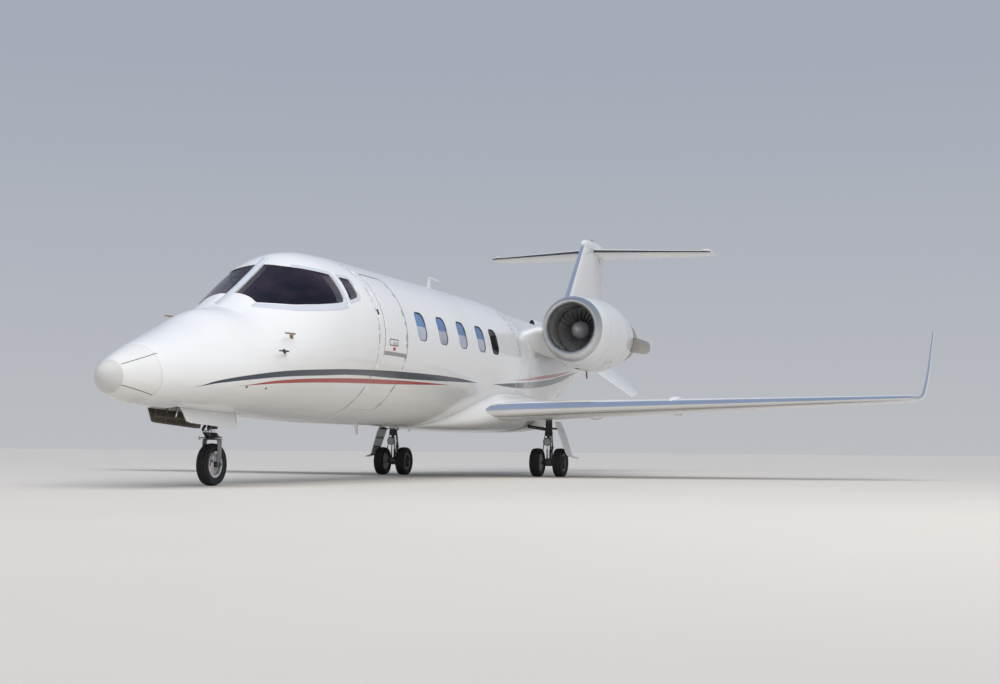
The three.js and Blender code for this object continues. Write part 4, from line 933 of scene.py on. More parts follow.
def doorway(grow):
    """The door's opening: its lower edge is square to the skin."""
    foot = Vector((hull_side(sum(DOOR) / 2, DOOR_BOTTOM), 0, DOOR_BOTTOM))
    out = Vector((foot.x, 0, DOOR_BOTTOM - DOOR_WAIST)).normalized()
    down = Vector((out.z, 0, -out.x))
    corners = [(DOOR[0] - grow, 0.60), (DOOR[1] + grow, 0.60), (DOOR[1] + grow, DOOR_TOP + grow),
               (DOOR[0] - grow, DOOR_TOP + grow)]
    opening = side_prism(rounded(corners, DOOR_CORNER), 0.3, 1.2)
    middle = foot + down * (0.4 + grow)
    middle.y = sum(DOOR) / 2 - HALF_LENGTH
    turn = Matrix((out, AFT, out.cross(AFT))).transposed().to_4x4()
    below = turned(block((-0.5, -0.6, -0.4), (0.5, 0.6, 0.4), SLICE, 1), Matrix.Translation(middle) @ turn)
    return opening, below


def hull_piece(name, shapes, replaces, body="airframe", material=WHITE_PAINT):
    return piece(name, list(zip(shapes, (material, LINING))), body, replaces, crease=40)


NOSE_BAY = (1.010, 2.180)
NOSE_BAY_HALF = 0.19
NOSE_BAY_TOP = 1.08
CAP_END = 0.135
GLASS_ROOM = (0.6, 1.1)
JOINT = 0.0005
LEAVES = (("upper", DOOR_SPLIT + 0.0025, 3.0), ("lower", 0.3, DOOR_SPLIT - 0.0025))


def nose_rings(start, end, count, inset=0.0):
    """Rings of the nose that crowd towards its tip: start and end are roots of stations."""
    roots = [lerp(start, end, i / count) for i in range(count + 1)]
    return [hull_ring(root * root, 96, inset) for root in roots]


def build_hull():
    tip = nose_rings(0.02, math.sqrt(RADOME_END - 0.0008), 26)
    hull_piece("radome_skin", [loft(tip)], ["radome"], material=RADOME_PAINT)
    cap = nose_rings(0.018, math.sqrt(CAP_END), 12, -0.0012)
    piece("nose_cap", [(loft(cap), CAP_GREY)], "airframe", crease=50)

    front = hull_piece("fuselage_front_skin", hull_shell(RADOME_END, FRONT_END - JOINT, 0.04, WALL, 160),
                       ["fuselage_front"])
    screen = common(side_prism(rounded(WINDSHIELD, 0.045), -0.02, 1.1), beside_post())
    side = side_prism(rounded(SIDE_WINDOW, 0.04), 0.5, 1.1)
    bay = block(at(-NOSE_BAY_HALF, NOSE_BAY[0], 0.5), at(NOSE_BAY_HALF, NOSE_BAY[1], NOSE_BAY_TOP), 0.0005, 1)
    carve(front, screen, mirrored(screen), side, mirrored(side), bay)

    cabin = hull_piece("fuselage_cabin_skin", hull_shell(FRONT_END, CABIN_END - JOINT, 0.1, WALL, 160),
                       ["fuselage_cabin"])
    holes = [turn(side_prism(window_outline(s), *GLASS_ROOM)) for hand, turn in HANDS for s in WINDOWS[hand]]
    opening, below = doorway(0.005)
    way = piece("way", [(opening, SEAL)], "airframe")
    carve(way, below)
    carve(cabin, *holes, shape_of(way))

    hull_piece("fuselage_aft_skin", [loft(hull_rings(CABIN_END, TAIL_END, 0.07, 144))], ["fuselage_aft"])

    shell = hull_shell(DOOR[0] - 0.05, DOOR[1] + 0.05, 0.05, WALL, 160)
    opening, below = doorway(0.0)
    for name, low, high in LEAVES:
        leaf = hull_piece(f"door_{name}_leaf", shell, [f"door_{name}"], f"door_{name}")
        keep_common(leaf, opening)
        keep_common(leaf, block(at(0.2, DOOR[0] - 0.2, low), at(1.3, DOOR[1] + 0.2, high), SLICE, 1))
        if name == "lower":
            carve(leaf, below)
    return screen, side


def build_glass(screen, side):
    for name, start, end, cutter in (("windshield", 1.95, 3.62, screen), ("side_window", 3.45, 3.9, side)):
        for hand, turn in HANDS:
            thing = piece(f"{name}_{hand}_pane", [(pane(start, end), WINDSHIELD_GLASS)], "airframe",
                          [f"{name}_{hand}"])
            keep_common(thing, turn(cutter))
    meet = lerp(WINDOW_LOW, WINDOW_HIGH, 0.5)
    for hand, turn in HANDS:
        panes = []
        for middle in WINDOWS[hand]:
            sheet = pane(middle - 0.2, middle + 0.2, 0.012, 0.020)
            cut_out = common(sheet, side_prism(window_outline(middle), *GLASS_ROOM))
            # The last window is painted dark, as shade of the cabin behind it
            if middle == CABIN_WINDOWS[-1]:
                panes.append((turn(cut_out), SHADE_PAINTED_GLASS))
                continue
            # The lower half is tinted pale as painted light on the blind, and the upper half blue as a
            # painted sky reflection
            for low, high, tint in ((1.5, meet, LIT_BLIND_GLASS), (meet, 2.4, SKY_REFLECTION_GLASS)):
                slab = block(at(0.5, middle - 0.4, low), at(1.2, middle + 0.4, high), SLICE, 1)
                panes.append((turn(common(cut_out, slab)), tint))
        piece(f"cabin_window_panes_{hand}", panes, "airframe", [f"cabin_windows_{hand}"])


# Engine pods: the skin's radius and the duct's radius along the station
LIP_FRONT = 10.45
LIP_BACK = 10.59
NACELLE_BACK = 12.90
REVERSER_BACK = 13.62
ENGINE = (1.349, 2.290)
FAN_STATION = 11.12
POD_TOE = 0.099
POD_DROOP = 0.18
COWL = [(10.45, 0.418), (10.472, 0.447), (10.52, 0.466), (10.59, 0.484), (10.95, 0.525), (11.40, 0.549),
        (11.90, 0.553), (12.40, 0.521), (12.90, 0.462), (13.30, 0.411), (13.62, 0.369)]
DUCT = [(10.45, 0.418), (10.464, 0.392), (10.51, 0.368), (10.59, 0.360), (10.85, 0.374), (11.00, 0.384),
        (11.30, 0.390), (11.70, 0.436), (12.30, 0.448), (12.90, 0.404), (13.30, 0.363), (13.62, 0.350)]


def rooted(rows):
    """A smooth curve through rows of a rounded nose: its first stretch is a round lip."""
    curve = monotone([math.sqrt(s - LIP_FRONT) for s, _ in rows], [r for _, r in rows])
    return lambda station: curve(math.sqrt(max(station - LIP_FRONT, 0)))


cowl_radius = rooted(COWL)
duct_radius = rooted(DUCT)


def pod_shift(station):
    return -POD_TOE * (station - FAN_STATION) / (REVERSER_BACK - LIP_FRONT)


def pod_point(station, radius, angle, droop=True):
    """A point of the port pod: it leans in aft, and its skin hangs deeper below the shaft line."""
    share = min(max((station - LIP_FRONT) / (REVERSER_BACK - LIP_FRONT), 0), 1)
    z = radius * math.sin(angle)
    if droop and z < 0:
        z *= 1 + POD_DROOP * math.sin(math.pi * share ** 0.53)
    return at(ENGINE[0] + radius * math.cos(angle) + pod_shift(station), station, ENGINE[1] + z)


def pod_ring(station, radius, sides=112, droop=True):
    return [pod_point(station, radius, math.tau * i / sides, droop) for i in range(sides)]


def eased(start, end, count):
    """Stations from start to end, close together where a lip is round."""
    a, b = math.sqrt(max(start - LIP_FRONT, 0)), math.sqrt(end - LIP_FRONT)
    return [LIP_FRONT + lerp(a, b, i / count) ** 2 for i in range(count + 1)]


def pod_shell(start, end, outer_count, inner_count, sides=112):
    outer = [pod_ring(s, cowl_radius(s), sides) for s in eased(start, end, outer_count)]
    inner = [pod_ring(s, duct_radius(s), sides, False) for s in eased(start, end, inner_count)]
    if start == LIP_FRONT:
        inner = inner[1:]
    return loft(outer + inner[::-1], loop=True)


# The reverser's side fairings: station, half width, half height
REVERSER_ARM = [(12.5, 0.040, 0.060), (12.75, 0.110, 0.105), (13.10, 0.130, 0.120), (13.60, 0.120, 0.112),
                (13.74, 0.080, 0.080)]


def split_skin(shell):
    """Parts a pod's shell into its outer skin and its duct."""
    points, faces = shell
    outside, inside = [], []
    for face in faces:
        middle = sum((points[i] for i in face), Vector()) / len(face)
        station = middle.y + HALF_LENGTH
        away = math.hypot(middle.x - ENGINE[0] - pod_shift(station), middle.z - ENGINE[1])
        in_duct = away < (cowl_radius(station) + duct_radius(station)) / 2
        (inside if in_duct else outside).append(face)
    return (points, outside), (points, inside)


def reverser_arm(way, slim):
    half, tall = curves(REVERSER_ARM)
    rings = []
    for i in range(19):
        s = lerp(NACELLE_BACK + 0.01, REVERSER_ARM[-1][0], i / 18)
        corners = [squared(a, 0.75) for a in turns(28)]
        middle = ENGINE[0] + way * 0.470 - 0.062
        rings.append([at(middle + slim * half(s) * u, s, ENGINE[1] - 0.120 + tall(s) * v)
                      for u, v in corners])
    return loft(rings)


def build_pods():
    def side(hand, turn):
        lip = pod_shell(LIP_FRONT, LIP_BACK - 0.001, 16, 14, 128)
        piece(f"inlet_lip_skin_{hand}", [(turn(lip), LIP_METAL)], "airframe", [f"inlet_lip_{hand}"],
              crease=60)
        skin, duct = split_skin(pod_shell(LIP_BACK, NACELLE_BACK - 0.002, 40, 30))
        piece(f"nacelle_skin_{hand}", [(turn(skin), PLAIN_WHITE), (turn(duct), DUCT_METAL)], "airframe",
              [f"nacelle_{hand}"], crease=40)
        shapes = [pod_shell(NACELLE_BACK + 0.002, REVERSER_BACK, 16, 12)]
        shapes += [reverser_arm(1, 1.0), reverser_arm(-1, 0.5)]
        piece(f"reverser_skin_{hand}", [(turn(shape), WARM_METAL) for shape in shapes], "airframe",
              [f"reverser_{hand}"], crease=40)
    both_sides(side)


BLADES = 24
BLADE_ROWS = 9
HUB_RADIUS = 0.136
FAN_RADIUS = 0.368
SPINNER = [(0.0, -0.262), (0.016, -0.256), (0.040, -0.238), (0.070, -0.205), (0.100, -0.160), (0.124, -0.110),
           (0.137, -0.060), (0.142, -0.045), (0.142, 0.060), (0.0, 0.064)]
BLADE_SECTION = ((-1, 0), (-0.6, 0.7), (0, 1), (0.6, 0.7), (1, 0), (0.6, -0.35), (0, -0.2), (-0.6, -0.35))


def fan_blade(centre, turn):
    """A twisted blade that leans over towards its tip."""
    rings = []
    for k in range(BLADE_ROWS):
        t = k / (BLADE_ROWS - 1)
        r = lerp(HUB_RADIUS, FAN_RADIUS, t)
        pitch = math.radians(lerp(22, 62, t ** 0.8))
        half = lerp(0.052, 0.066, t) * (1 - 0.10 * math.sin(math.pi * t))
        angle = turn + 0.10 * t * t
        ring = []
        for u, v in BLADE_SECTION:
            along = u * half
            thick = v * 0.0045 + 0.010 * (1 - u * u)
            y = along * math.cos(pitch) + thick * math.sin(pitch)
            side = -along * math.sin(pitch) + thick * math.cos(pitch)
            ring.append(centre + Vector((r * math.sin(angle) + side * math.cos(angle), y,
                                         r * math.cos(angle) - side * math.sin(angle))))
        rings.append(ring)
    return loft(rings)


def build_fans():
    for hand, x in (("left", ENGINE[0]), ("right", -ENGINE[0])):
        centre = at(x, FAN_STATION, ENGINE[1])
        blades = [fan_blade(centre, math.tau * (b + 0.5) / BLADES) for b in range(BLADES)]
        shapes = [(lathe(SPINNER, centre, AFT, 64), SPINNER_GREY), (merged(*blades), FAN_METAL)]
        piece(f"fan_rotor_{hand}", shapes, f"fan_{hand}", [f"fan_{hand}"], crease=40)


# The engine block and its tail cone: station, radius
CORE = [(11.25, 0.0), (11.252, 0.13), (11.30, 0.2), (11.41, 0.27), (11.6, 0.285), (12.4, 0.285), (12.5, 0.28)]
TAIL_CONE = [(12.5, 0.278), (12.7, 0.262), (12.9, 0.238), (13.05, 0.212), (13.2, 0.155), (13.32, 0.105),
             (13.40, 0.066), (13.42, 0.03), (13.42, 0.0)]
STRUT_SECTION = ((-1, 0), (-0.5, 1), (0.5, 0.8), (1, 0), (0.5, -0.8), (-0.5, -1))
VANE_SECTION = ((-1, 0), (0, 0.6), (1, 0.1), (0, -0.3))


def build_cores():
    def side(hand, turn):
        def leaned(profile):
            return loft([pod_ring(s, max(r, 1e-4), 64, False) for s, r in profile])

        struts = [loft([[pod_point(12.05 + 0.14 * u, r, a + 0.1 + v * 0.012 / r, False)
                         for u, v in STRUT_SECTION] for r in (0.20, 0.434)]) for a in turns(14)]
        vanes = [loft([[pod_point(11.275 + 0.035 * u, r, a + 0.055 * (1 - u) + v * 0.004 / r, False)
                        for u, v in VANE_SECTION] for r in (0.14, 0.387)]) for a in turns(36)]
        shaft = lathe([(0.04, 0), (0.04, 0.05)], at(ENGINE[0], FAN_STATION + 0.075, ENGINE[1]), AFT, 24)
        parts = [(leaned(CORE), DARK_METAL), (leaned(TAIL_CONE), BURNT_METAL),
                 (merged(*struts, *vanes, shaft), DARK_METAL)]
        piece(f"engine_core_body_{hand}", [(turn(shape), look) for shape, look in parts], "airframe",
              [f"engine_core_{hand}"], crease=40)
    both_sides(side)


# The pylon is tall at the hull and slim at the pod: x, front, back, bottom, top
PYLON = [
    (0.42, 10.15, 13.45, 1.800, 2.290), (0.55, 10.19, 13.24, 1.868, 2.306),
    (0.64, 10.23, 13.06, 1.920, 2.322), (0.74, 10.29, 12.885, 2.010, 2.342),
    (0.85, 10.42, 12.86, 2.110, 2.370), (0.96, 10.49, 12.83, 2.130, 2.378),
    (1.10, 10.56, 12.78, 2.150, 2.390),
]


def build_pylons():
    columns = curves(PYLON)
    rings = []
    for i in range(23):
        x = lerp(PYLON[0][0], PYLON[-1][0], i / 22)
        front, back, bottom, top = (c(x) for c in columns)
        middle, tall = (bottom + top) / 2, (top - bottom) / 2
        upper, lower = [], []
        for k in range(25):
            t = (1 - math.cos(math.pi * k / 24)) / 2
            half = tall * min(1.0, 2.464 * math.sqrt(t)) * (1 - max(0, (t - 0.45) / 0.55) ** 2.2 * 0.95)
            upper.append(at(x, lerp(front, back, t), middle + half))
            lower.append(at(x, lerp(front, back, t), middle - half))
        rings.append(upper + lower[-2:0:-1])
    shape = loft(rings)
    hull = loft(hull_rings(9.6, 14.0, 0.1, 96, 0.004))
    pod = loft([pod_ring(s, cowl_radius(s) - 0.004, 96) for s in eased(LIP_FRONT + 0.01, REVERSER_BACK, 40)])

    def side(hand, turn):
        thing = piece(f"pylon_skin_{hand}", [(turn(shape), PLAIN_WHITE)], "airframe", [f"pylon_{hand}"],
                      crease=50)
        carve(thing, turn(hull), turn(pod))
    both_sides(side)


def half_depth(t):
    """Half the thickness of a wing section at a share of its chord, for a section 1 thick."""
    curve = (0.2969 * math.sqrt(t) - 0.126 * t - 0.3516 * t ** 2 + 0.2843 * t ** 3 - 0.1015 * t ** 4)
    return max(5 * curve * (1 + 0.25 * (1 - t) ** 8), 0.006)


SECTION_STEPS = [0, 0.0012, 0.005, 0.011, 0.02, 0.032, 0.045, 0.06, 0.08, 0.105, 0.14, 0.18, 0.23, 0.29, 0.36,
                 0.44, 0.52, 0.60, 0.68, 0.76, 0.83, 0.90, 0.95, 1.0]
LEADING_SHARE = 0.045


def section(place, chord, depth, up, rise=0.0):
    def along(t):
        return place + Vector((0, t * chord, t * rise))
    upper = [along(t) + up * (half_depth(t) * depth * chord) for t in SECTION_STEPS]
    lower = [along(t) - up * (half_depth(t) * depth * chord) for t in SECTION_STEPS[1:]][::-1]
    return [along(0)] + upper[1:] + lower


def split_leading_edge(shape, edge=LEADING_SHARE):
    """Parts a lofted blade's faces into its leading edge and the rest."""
    points, faces = shape
    n = 2 * len(SECTION_STEPS) - 1
    near = SECTION_STEPS.index(edge)
    front, rest = [], []
    for face in faces:
        if len(face) > 4:
            rest.append(face)
            continue
        spots = [i % n for i in face]
        shares = [min(s, n - s) for s in spots]
        (front if max(shares) <= near else rest).append(face)
    return (points, front), (points, rest)


WING_ROOT_X, WING_TIP_X = 0.86, 6.45
GLOVE_X, GLOVE_REACH = 1.45, 0.40
WING = ((8.387, 2.500, 0.950, 0.12), (10.150, 1.110, 1.165, 0.095))
WINGLET_DEPTH = 0.085
WINGLET = [(6.45, 10.165, 1.166, 1.080, 90), (6.53, 10.38, 1.176, 0.900, 62),
           (6.572, 10.60, 1.215, 0.780, 30), (6.59, 10.75, 1.280, 0.720, 12), (6.671, 11.79, 2.231, 0.300, 8)]
FLAP = (1.11, 3.90, 0.76)
AILERON = (4.01, 5.90, 0.74)
SPOILER = (1.75, 3.25, 0.62, 0.71)
SPOILER_DEPTH = 0.014


def wing_measures(x):
    t = (x - WING_ROOT_X) / (WING_TIP_X - WING_ROOT_X)
    return [lerp(a, b, t) for a, b in zip(*WING)]


def wing_ring(x):
    """A section of the wing; near the root its leading edge sweeps forward and thins into the fairing."""
    front, chord, z, depth = wing_measures(x)
    glove = max(0.0, (GLOVE_X - x) / (GLOVE_X - WING_ROOT_X)) ** 2
    reach = GLOVE_REACH * glove
    return section(at(x, front - reach, z - 0.02 * glove), chord + reach, depth * (1 - 0.22 * glove),
                   UP)


def winglet_rings():
    knots = along_rows(WINGLET, 0, 2)
    columns = curves(WINGLET, knots)
    spots = [lerp(0, knots[3], i / 12) for i in range(1, 13)]
    spots += [lerp(knots[3], knots[4], i / 6) for i in range(1, 7)]
    rings = []
    for s in spots:
        x, front, z, chord, lean = (c(s) for c in columns)
        a = math.radians(90 - lean)
        rings.append(section(at(x, front, z), chord, WINGLET_DEPTH, Vector((-math.sin(a), 0, math.cos(a)))))
    tip = rings[-1]
    middle = sum(tip, Vector()) / len(tip)
    rings.append([lerp(p, middle, 0.35) + Vector((0.001, 0.006, 0.006)) for p in tip])
    return rings


def hinge_frame(a, b):
    along = (b - a).normalized()
    aft = (AFT - along * along.y).normalized()
    return along, aft, along.cross(aft).normalized()


def behind(a, b, radius, ends, reach=1.2, tall=0.35):
    """All that is aft of a hinge line, with a round nose about the line."""
    along, aft, up = hinge_frame(a, b)
    nose = [(-radius * math.sin(t), radius * math.cos(t)) for t in (math.pi * i / 20 for i in range(21))]
    outline = [(reach, tall), (0, tall)] + nose + [(0, -tall), (reach, -tall)]
    rings = [[p + aft * u + up * w for u, w in outline] for p in (a - along * ends, b + along * ends)]
    return loft(rings)


def wing_hinge(part):
    ends = []
    for x in part[:2]:
        front, chord, z, _ = wing_measures(x)
        ends.append(at(x, front + part[2] * chord, z))
    return ends


def skin_piece(name, hand, shape, body="airframe"):
    """The painted skin of a wing or tail part, which takes the place of the solid of that name."""
    return piece(f"{name}_skin_{hand}", [(shape, PLAIN_WHITE)], body, [f"{name}_{hand}"],
                 crease=40)


def wing_half_depth(share, x):
    _, chord, _, depth = wing_measures(x)
    return half_depth(share) * depth * chord


LEG_SLOT = (1.15, 1.36, 9.64, 9.89, 0.905)


def build_wings():
    rings = [wing_ring(lerp(WING_ROOT_X, WING_TIP_X - 0.03, i / 40)) for i in range(41)] + winglet_rings()
    shape = loft(rings)
    front, rest = split_leading_edge(shape)
    flap_a, flap_b = wing_hinge(FLAP)
    ail_a, ail_b = wing_hinge(AILERON)
    flap_r = wing_half_depth(FLAP[2], FLAP[0])
    ail_r = wing_half_depth(AILERON[2], AILERON[0])
    slot = block(at(LEG_SLOT[0], LEG_SLOT[2], 0.4), at(LEG_SLOT[1], LEG_SLOT[3], LEG_SLOT[4]), 0.0005, 1)

    def over(ends, low, high, ahead, aft):
        ring = []
        for x in (SPOILER[0] - ends, SPOILER[1] + ends):
            front_y, chord, base, _ = wing_measures(x)
            ya, yb = front_y + SPOILER[2] * chord - ahead, front_y + SPOILER[3] * chord + aft
            za, zb = base + wing_half_depth(SPOILER[2], x), base + wing_half_depth(SPOILER[3], x)
            corners = ((ya, za - low), (yb, zb - low), (yb, zb + high), (ya, za + high))
            ring.append([at(x, y, z) for y, z in corners])
        return loft(ring)

    def side(hand, turn):
        parts = [(turn(front), POLISHED), (turn(rest), PLAIN_WHITE)]
        wing = piece(f"wing_skin_{hand}", parts, "airframe", [f"wing_{hand}"], crease=40)
        rooms = (behind(flap_a, flap_b, flap_r + GAP, GAP), behind(ail_a, ail_b, ail_r + GAP, GAP), slot,
                 over(0.006, SPOILER_DEPTH + GAP, 0.05, 0.006, 0.006))
        carve(wing, *(turn(room) for room in rooms))
        for name, a, b, r in (("flap", flap_a, flap_b, flap_r), ("aileron", ail_a, ail_b, ail_r)):
            surface = skin_piece(name, hand, turn(shape), f"{name}_{hand}")
            keep_common(surface, turn(behind(a, b, r, 0.0)))
        plate = piece(f"spoiler_plate_{hand}", [(turn(shape), PLAIN_WHITE)], f"spoiler_{hand}",
                      [f"spoiler_{hand}"], crease=40)
        keep_common(plate, turn(over(0, SPOILER_DEPTH, 0.05, 0, 0)))
    both_sides(side)


# The fairing under the wing: station, half width, bottom, top
FAIRING = [
    (7.15, 0.300, 0.684, 0.760), (7.60, 0.640, 0.668, 0.960), (8.15, 0.930, 0.655, 1.180),
    (8.70, 1.030, 0.650, 1.290), (9.70, 1.040, 0.650, 1.300), (10.50, 1.000, 0.655, 1.270),
    (11.15, 0.860, 0.680, 1.160), (11.70, 0.600, 0.760, 1.010), (12.05, 0.330, 0.880, 0.960),
]


def build_fairing():
    columns = curves(FAIRING)
    rings = []
    for i in range(71):
        s = lerp(FAIRING[0][0], FAIRING[-1][0], i / 70)
        half, bottom, top = (c(s) for c in columns)
        middle, tall = (bottom + top) / 2, (top - bottom) / 2
        rings.append([at(half * u, s, middle + tall * v) for u, v in (squared(a, 0.7) for a in turns(64))])
    thing = piece("belly_fairing_skin", [(loft(rings), PLAIN_WHITE)], "airframe", ["belly_fairing"],
                  crease=40)
    bay = block(at(0.54, LEG_SLOT[2], 0.4), at(LEG_SLOT[1], LEG_SLOT[3], LEG_SLOT[4] - 0.06), 0.0005, 1)
    carve(thing, loft(hull_rings(6.9, 12.6, 0.15, 96, 0.003)), bay, mirrored(bay))


FIN_ROOT = (14.02, 3.07, 2.38, 0.075)
FIN_TOP = (15.90, 1.50, 4.33, 0.09)
DORSAL = [(13.3, 2.53), (14.06, 2.64), (14.33, 2.76), (14.56, 2.965), (14.74, 3.125)]
RUDDER = ((0, 16.33, 2.56), (0, 16.90, 4.12))
RUDDER_NOSE = 0.062
RUDDER_BOTTOM = 2.52
TAILPLANE_Z = 4.262
TAIL_ROOT = (16.40, 1.40, 0.1)
TAIL_TIP = (17.085, 0.795, 0.085)
TAIL_HALF = 2.24
BOOT_SHARE = 0.02
ELEVATOR = (0.19, 2.12, 0.66)
TAIL_BOOT_SHARE = 0.011
ELEVATOR_NOSE = 0.04
BULLET = [(15.86, 0.015), (15.91, 0.060), (16.02, 0.098), (16.30, 0.126), (16.80, 0.132), (17.25, 0.096),
          (17.45, 0.04)]
BULLET_Z = 4.335
DORSAL_BASE = 2.40
SCOOP = (12.78, 13.65)
# The horn at the tailplane's tip: x, station, height over the tailplane
TIP_HORN = [(2.06, 17.03, 0.020), (2.12, 17.06, 0.034), (2.20, 17.13, 0.036), (2.232, 17.24, 0.022)]
VENTRAL = ((0.12, 15.25, 16.83, 2.06, 0.15), (0.765, 16.73, 17.33, 1.425, 0.10))


def tail_measures(x):
    """The tailplane's front, chord and depth."""
    return (lerp(a, b, abs(x) / TAIL_HALF) for a, b in zip(TAIL_ROOT, TAIL_TIP))


def tail_ring(x):
    front, chord, depth = tail_measures(x)
    return section(at(x, front, TAILPLANE_Z), chord, depth, UP)


def tail_hinge():
    ends = []
    for x in ELEVATOR[:2]:
        front, chord, _ = tail_measures(x)
        ends.append(at(x, front + ELEVATOR[2] * chord, TAILPLANE_Z))
    return ends


def build_tailplane():
    shape = loft([tail_ring(lerp(-TAIL_HALF, TAIL_HALF, i / 48)) for i in range(49)])
    front, rest = split_leading_edge(shape, TAIL_BOOT_SHARE)
    plane = piece("tailplane_skin", [(front, BOOT_RUBBER), (rest, PLAIN_WHITE)], "airframe", ["tailplane"],
                  crease=40)
    horn = tube([at(x, s, TAILPLANE_Z + z) for x, s, z in TIP_HORN], [0.010, 0.020, 0.020, 0.012], 14)
    piece("tailplane_horns", [(merged(horn, mirrored(horn)), PLAIN_WHITE)], "airframe",
          crease=45)
    a, b = tail_hinge()
    cove = behind(a, b, ELEVATOR_NOSE + GAP, GAP)
    carve(plane, cove, mirrored(cove))
    for hand, turn in HANDS:
        elevator = skin_piece("elevator", hand, shape, f"elevator_{hand}")
        keep_common(elevator, turn(behind(a, b, ELEVATOR_NOSE, 0.0)))


def under_rudder(gap):
    return block(at(-0.3, 15, 2.0), at(0.3, 18, RUDDER_BOTTOM - gap), SLICE, 1)


def build_fin():
    rings = []
    for i in range(31):
        front_y, chord, z, depth = (lerp(p, q, i / 30) for p, q in zip(FIN_ROOT, FIN_TOP))
        rings.append(section(at(0, front_y, z), chord, depth, ACROSS))
    shape = loft(rings)
    front, rest = split_leading_edge(shape, BOOT_SHARE)
    low, high = (at(*p) for p in RUDDER)
    along = (high - low).normalized()
    fin = piece("fin_skin", [(front, POLISHED), (rest, PLAIN_WHITE)], "airframe", ["fin"],
                crease=40)
    cove = behind(low - along * 0.2, high + along * 0.05, RUDDER_NOSE + GAP, GAP)
    room = piece("room", [(cove, SEAL)], "airframe")
    carve(room, under_rudder(GAP))
    carve(fin, shape_of(room), loft(hull_rings(12.0, TAIL_END, 0.15, 96, 0.004)))
    rudder = piece("rudder_skin", [(shape, PLAIN_WHITE)], "rudder", ["rudder"], crease=40)
    keep_common(rudder, behind(low, high, RUDDER_NOSE, 0.0))
    carve(rudder, under_rudder(0))


def dorsal_fin():
    """The low ridge ahead of the fin."""
    top, = curves(DORSAL)
    rings = []
    for i in range(30):
        s = lerp(DORSAL[0][0], DORSAL[-1][0], i / 29)
        z = top(s)
        w = lerp(0.012, 0.05, i / 29)
        flank = [(2.2, DORSAL_BASE), (1.3, lerp(DORSAL_BASE, z, 0.35)), (0.8, lerp(DORSAL_BASE, z, 0.8)),
                 (0.4, z - 0.006)]
        rings.append([at(-w * u, s, v) for u, v in flank] + [at(0, s, z)]
                     + [at(w * u, s, v) for u, v in flank[::-1]])
    return loft(rings)


def humps(rows, half, tall, droop, lift, sides=28):
    """Arched rings on the hull's crown from rows of (station, size)."""
    rings = []
    for s, size in rows:
        z = hull_crown(s, 0) + lift
        rings.append([at(half * size * math.cos(a), s, z + tall * size * max(math.sin(a), droop))
                      for a in turns(sides)])
    return loft(rings)


def build_spine_and_tail_cone():
    rows = []
    for i in range(15):
        t = i / 14
        size = math.sin(math.pi * min(0.5 * (0.72 + t * 1.28), 1)) ** 0.6
        rows.append((lerp(SCOOP[0], SCOOP[1], t), size))
    scoop = humps(rows, 0.062, 0.105, -0.2, 0.006)
    # A thin black disc over the scoop's front: painted shade inside its open mouth
    mouth_shade = humps([(SCOOP[0] - 0.008, 1), (SCOOP[0] - 0.001, 1)], 0.048, 0.088, -0.1, 0.010)
    piece("dorsal_scoop", [(scoop, PLAIN_WHITE), (mouth_shade, BLACK_RUBBER_AND_SHADE)], "airframe",
          crease=45)
    piece("dorsal_fin", [(dorsal_fin(), PLAIN_WHITE)], "airframe", crease=50)

    radius, = curves(BULLET)
    bullet = []
    for i in range(44):
        s = lerp(BULLET[0][0], BULLET[-1][0], i / 43)
        bullet.append([at(0.72 * radius(s) * math.cos(t), s, BULLET_Z + 1.02 * radius(s) * math.sin(t))
                       for t in turns(40)])
    piece("tail_bullet", [(loft(bullet), PLAIN_WHITE)], "airframe", crease=50)

    root, tip = VENTRAL
    up = Vector((root[3] - tip[3], 0, tip[0] - root[0])).normalized()
    rings = []
    for i in range(13):
        x, front_y, back, z, rise = (lerp(p, q, i / 12) for p, q in zip(root, tip))
        chord = back - front_y
        rings.append(section(at(x, front_y, z), chord, 0.026 / chord + 0.02, up, rise))
    for hand, turn in HANDS:
        skin_piece("ventral_fin", hand, turn(loft(rings)))


# Landing gear
MAIN_STATION, TRACK_X, TWIN_OFFSET = 9.762, 1.255, 0.178
MAIN_TYRE = (0.212, 0.146, 0.118)
NOSE_STATION = 2.042
NOSE_TYRE = (0.220, 0.112, 0.128)
DOOR_SLANT = 0.16
GROOVE_DEPTH, GROOVE_HALF, GROOVE_EDGE = 0.006, 0.0035, 0.001
# Lathe profiles of the gear: radius, distance along the axis
CYLINDER = [(0.0, 0.0), (0.050, 0.0), (0.057, 0.006), (0.057, 0.040), (0.052, 0.048), (0.050, 0.10),
            (0.050, 0.22), (0.056, 0.228), (0.056, 0.250), (0.050, 0.256), (0.050, 0.283), (0.0, 0.2845)]
GLAND = [(0.0372, 0), (0.050, 0), (0.053, 0.004), (0.053, 0.016), (0.0372, 0.016)]
AXLE_BOSS = [(0.033, -0.060), (0.046, -0.060), (0.052, -0.052), (0.054, -0.02), (0.054, 0.02), (0.052, 0.052),
             (0.046, 0.060), (0.033, 0.060)]
LEG_FOOT = [(0.0, 0.0), (0.044, 0.0), (0.046, 0.03), (0.042, 0.05), (0.0, 0.052)]
BRACE_COLLAR = [(0.018, -0.012), (0.029, -0.012), (0.030, 0.0), (0.029, 0.012), (0.018, 0.012)]
TAXI_LAMP = [(0.0, 0.075), (0.020, 0.074), (0.042, 0.055), (0.058, 0.022), (0.061, 0.004), (0.061, -0.008),
             (0.056, -0.010), (0.056, 0.0), (0.0, 0.002)]
TAXI_LENS = [(0.0, -0.010), (0.03, -0.008), (0.055, -0.002), (0.055, 0.0005), (0.0, 0.0005)]
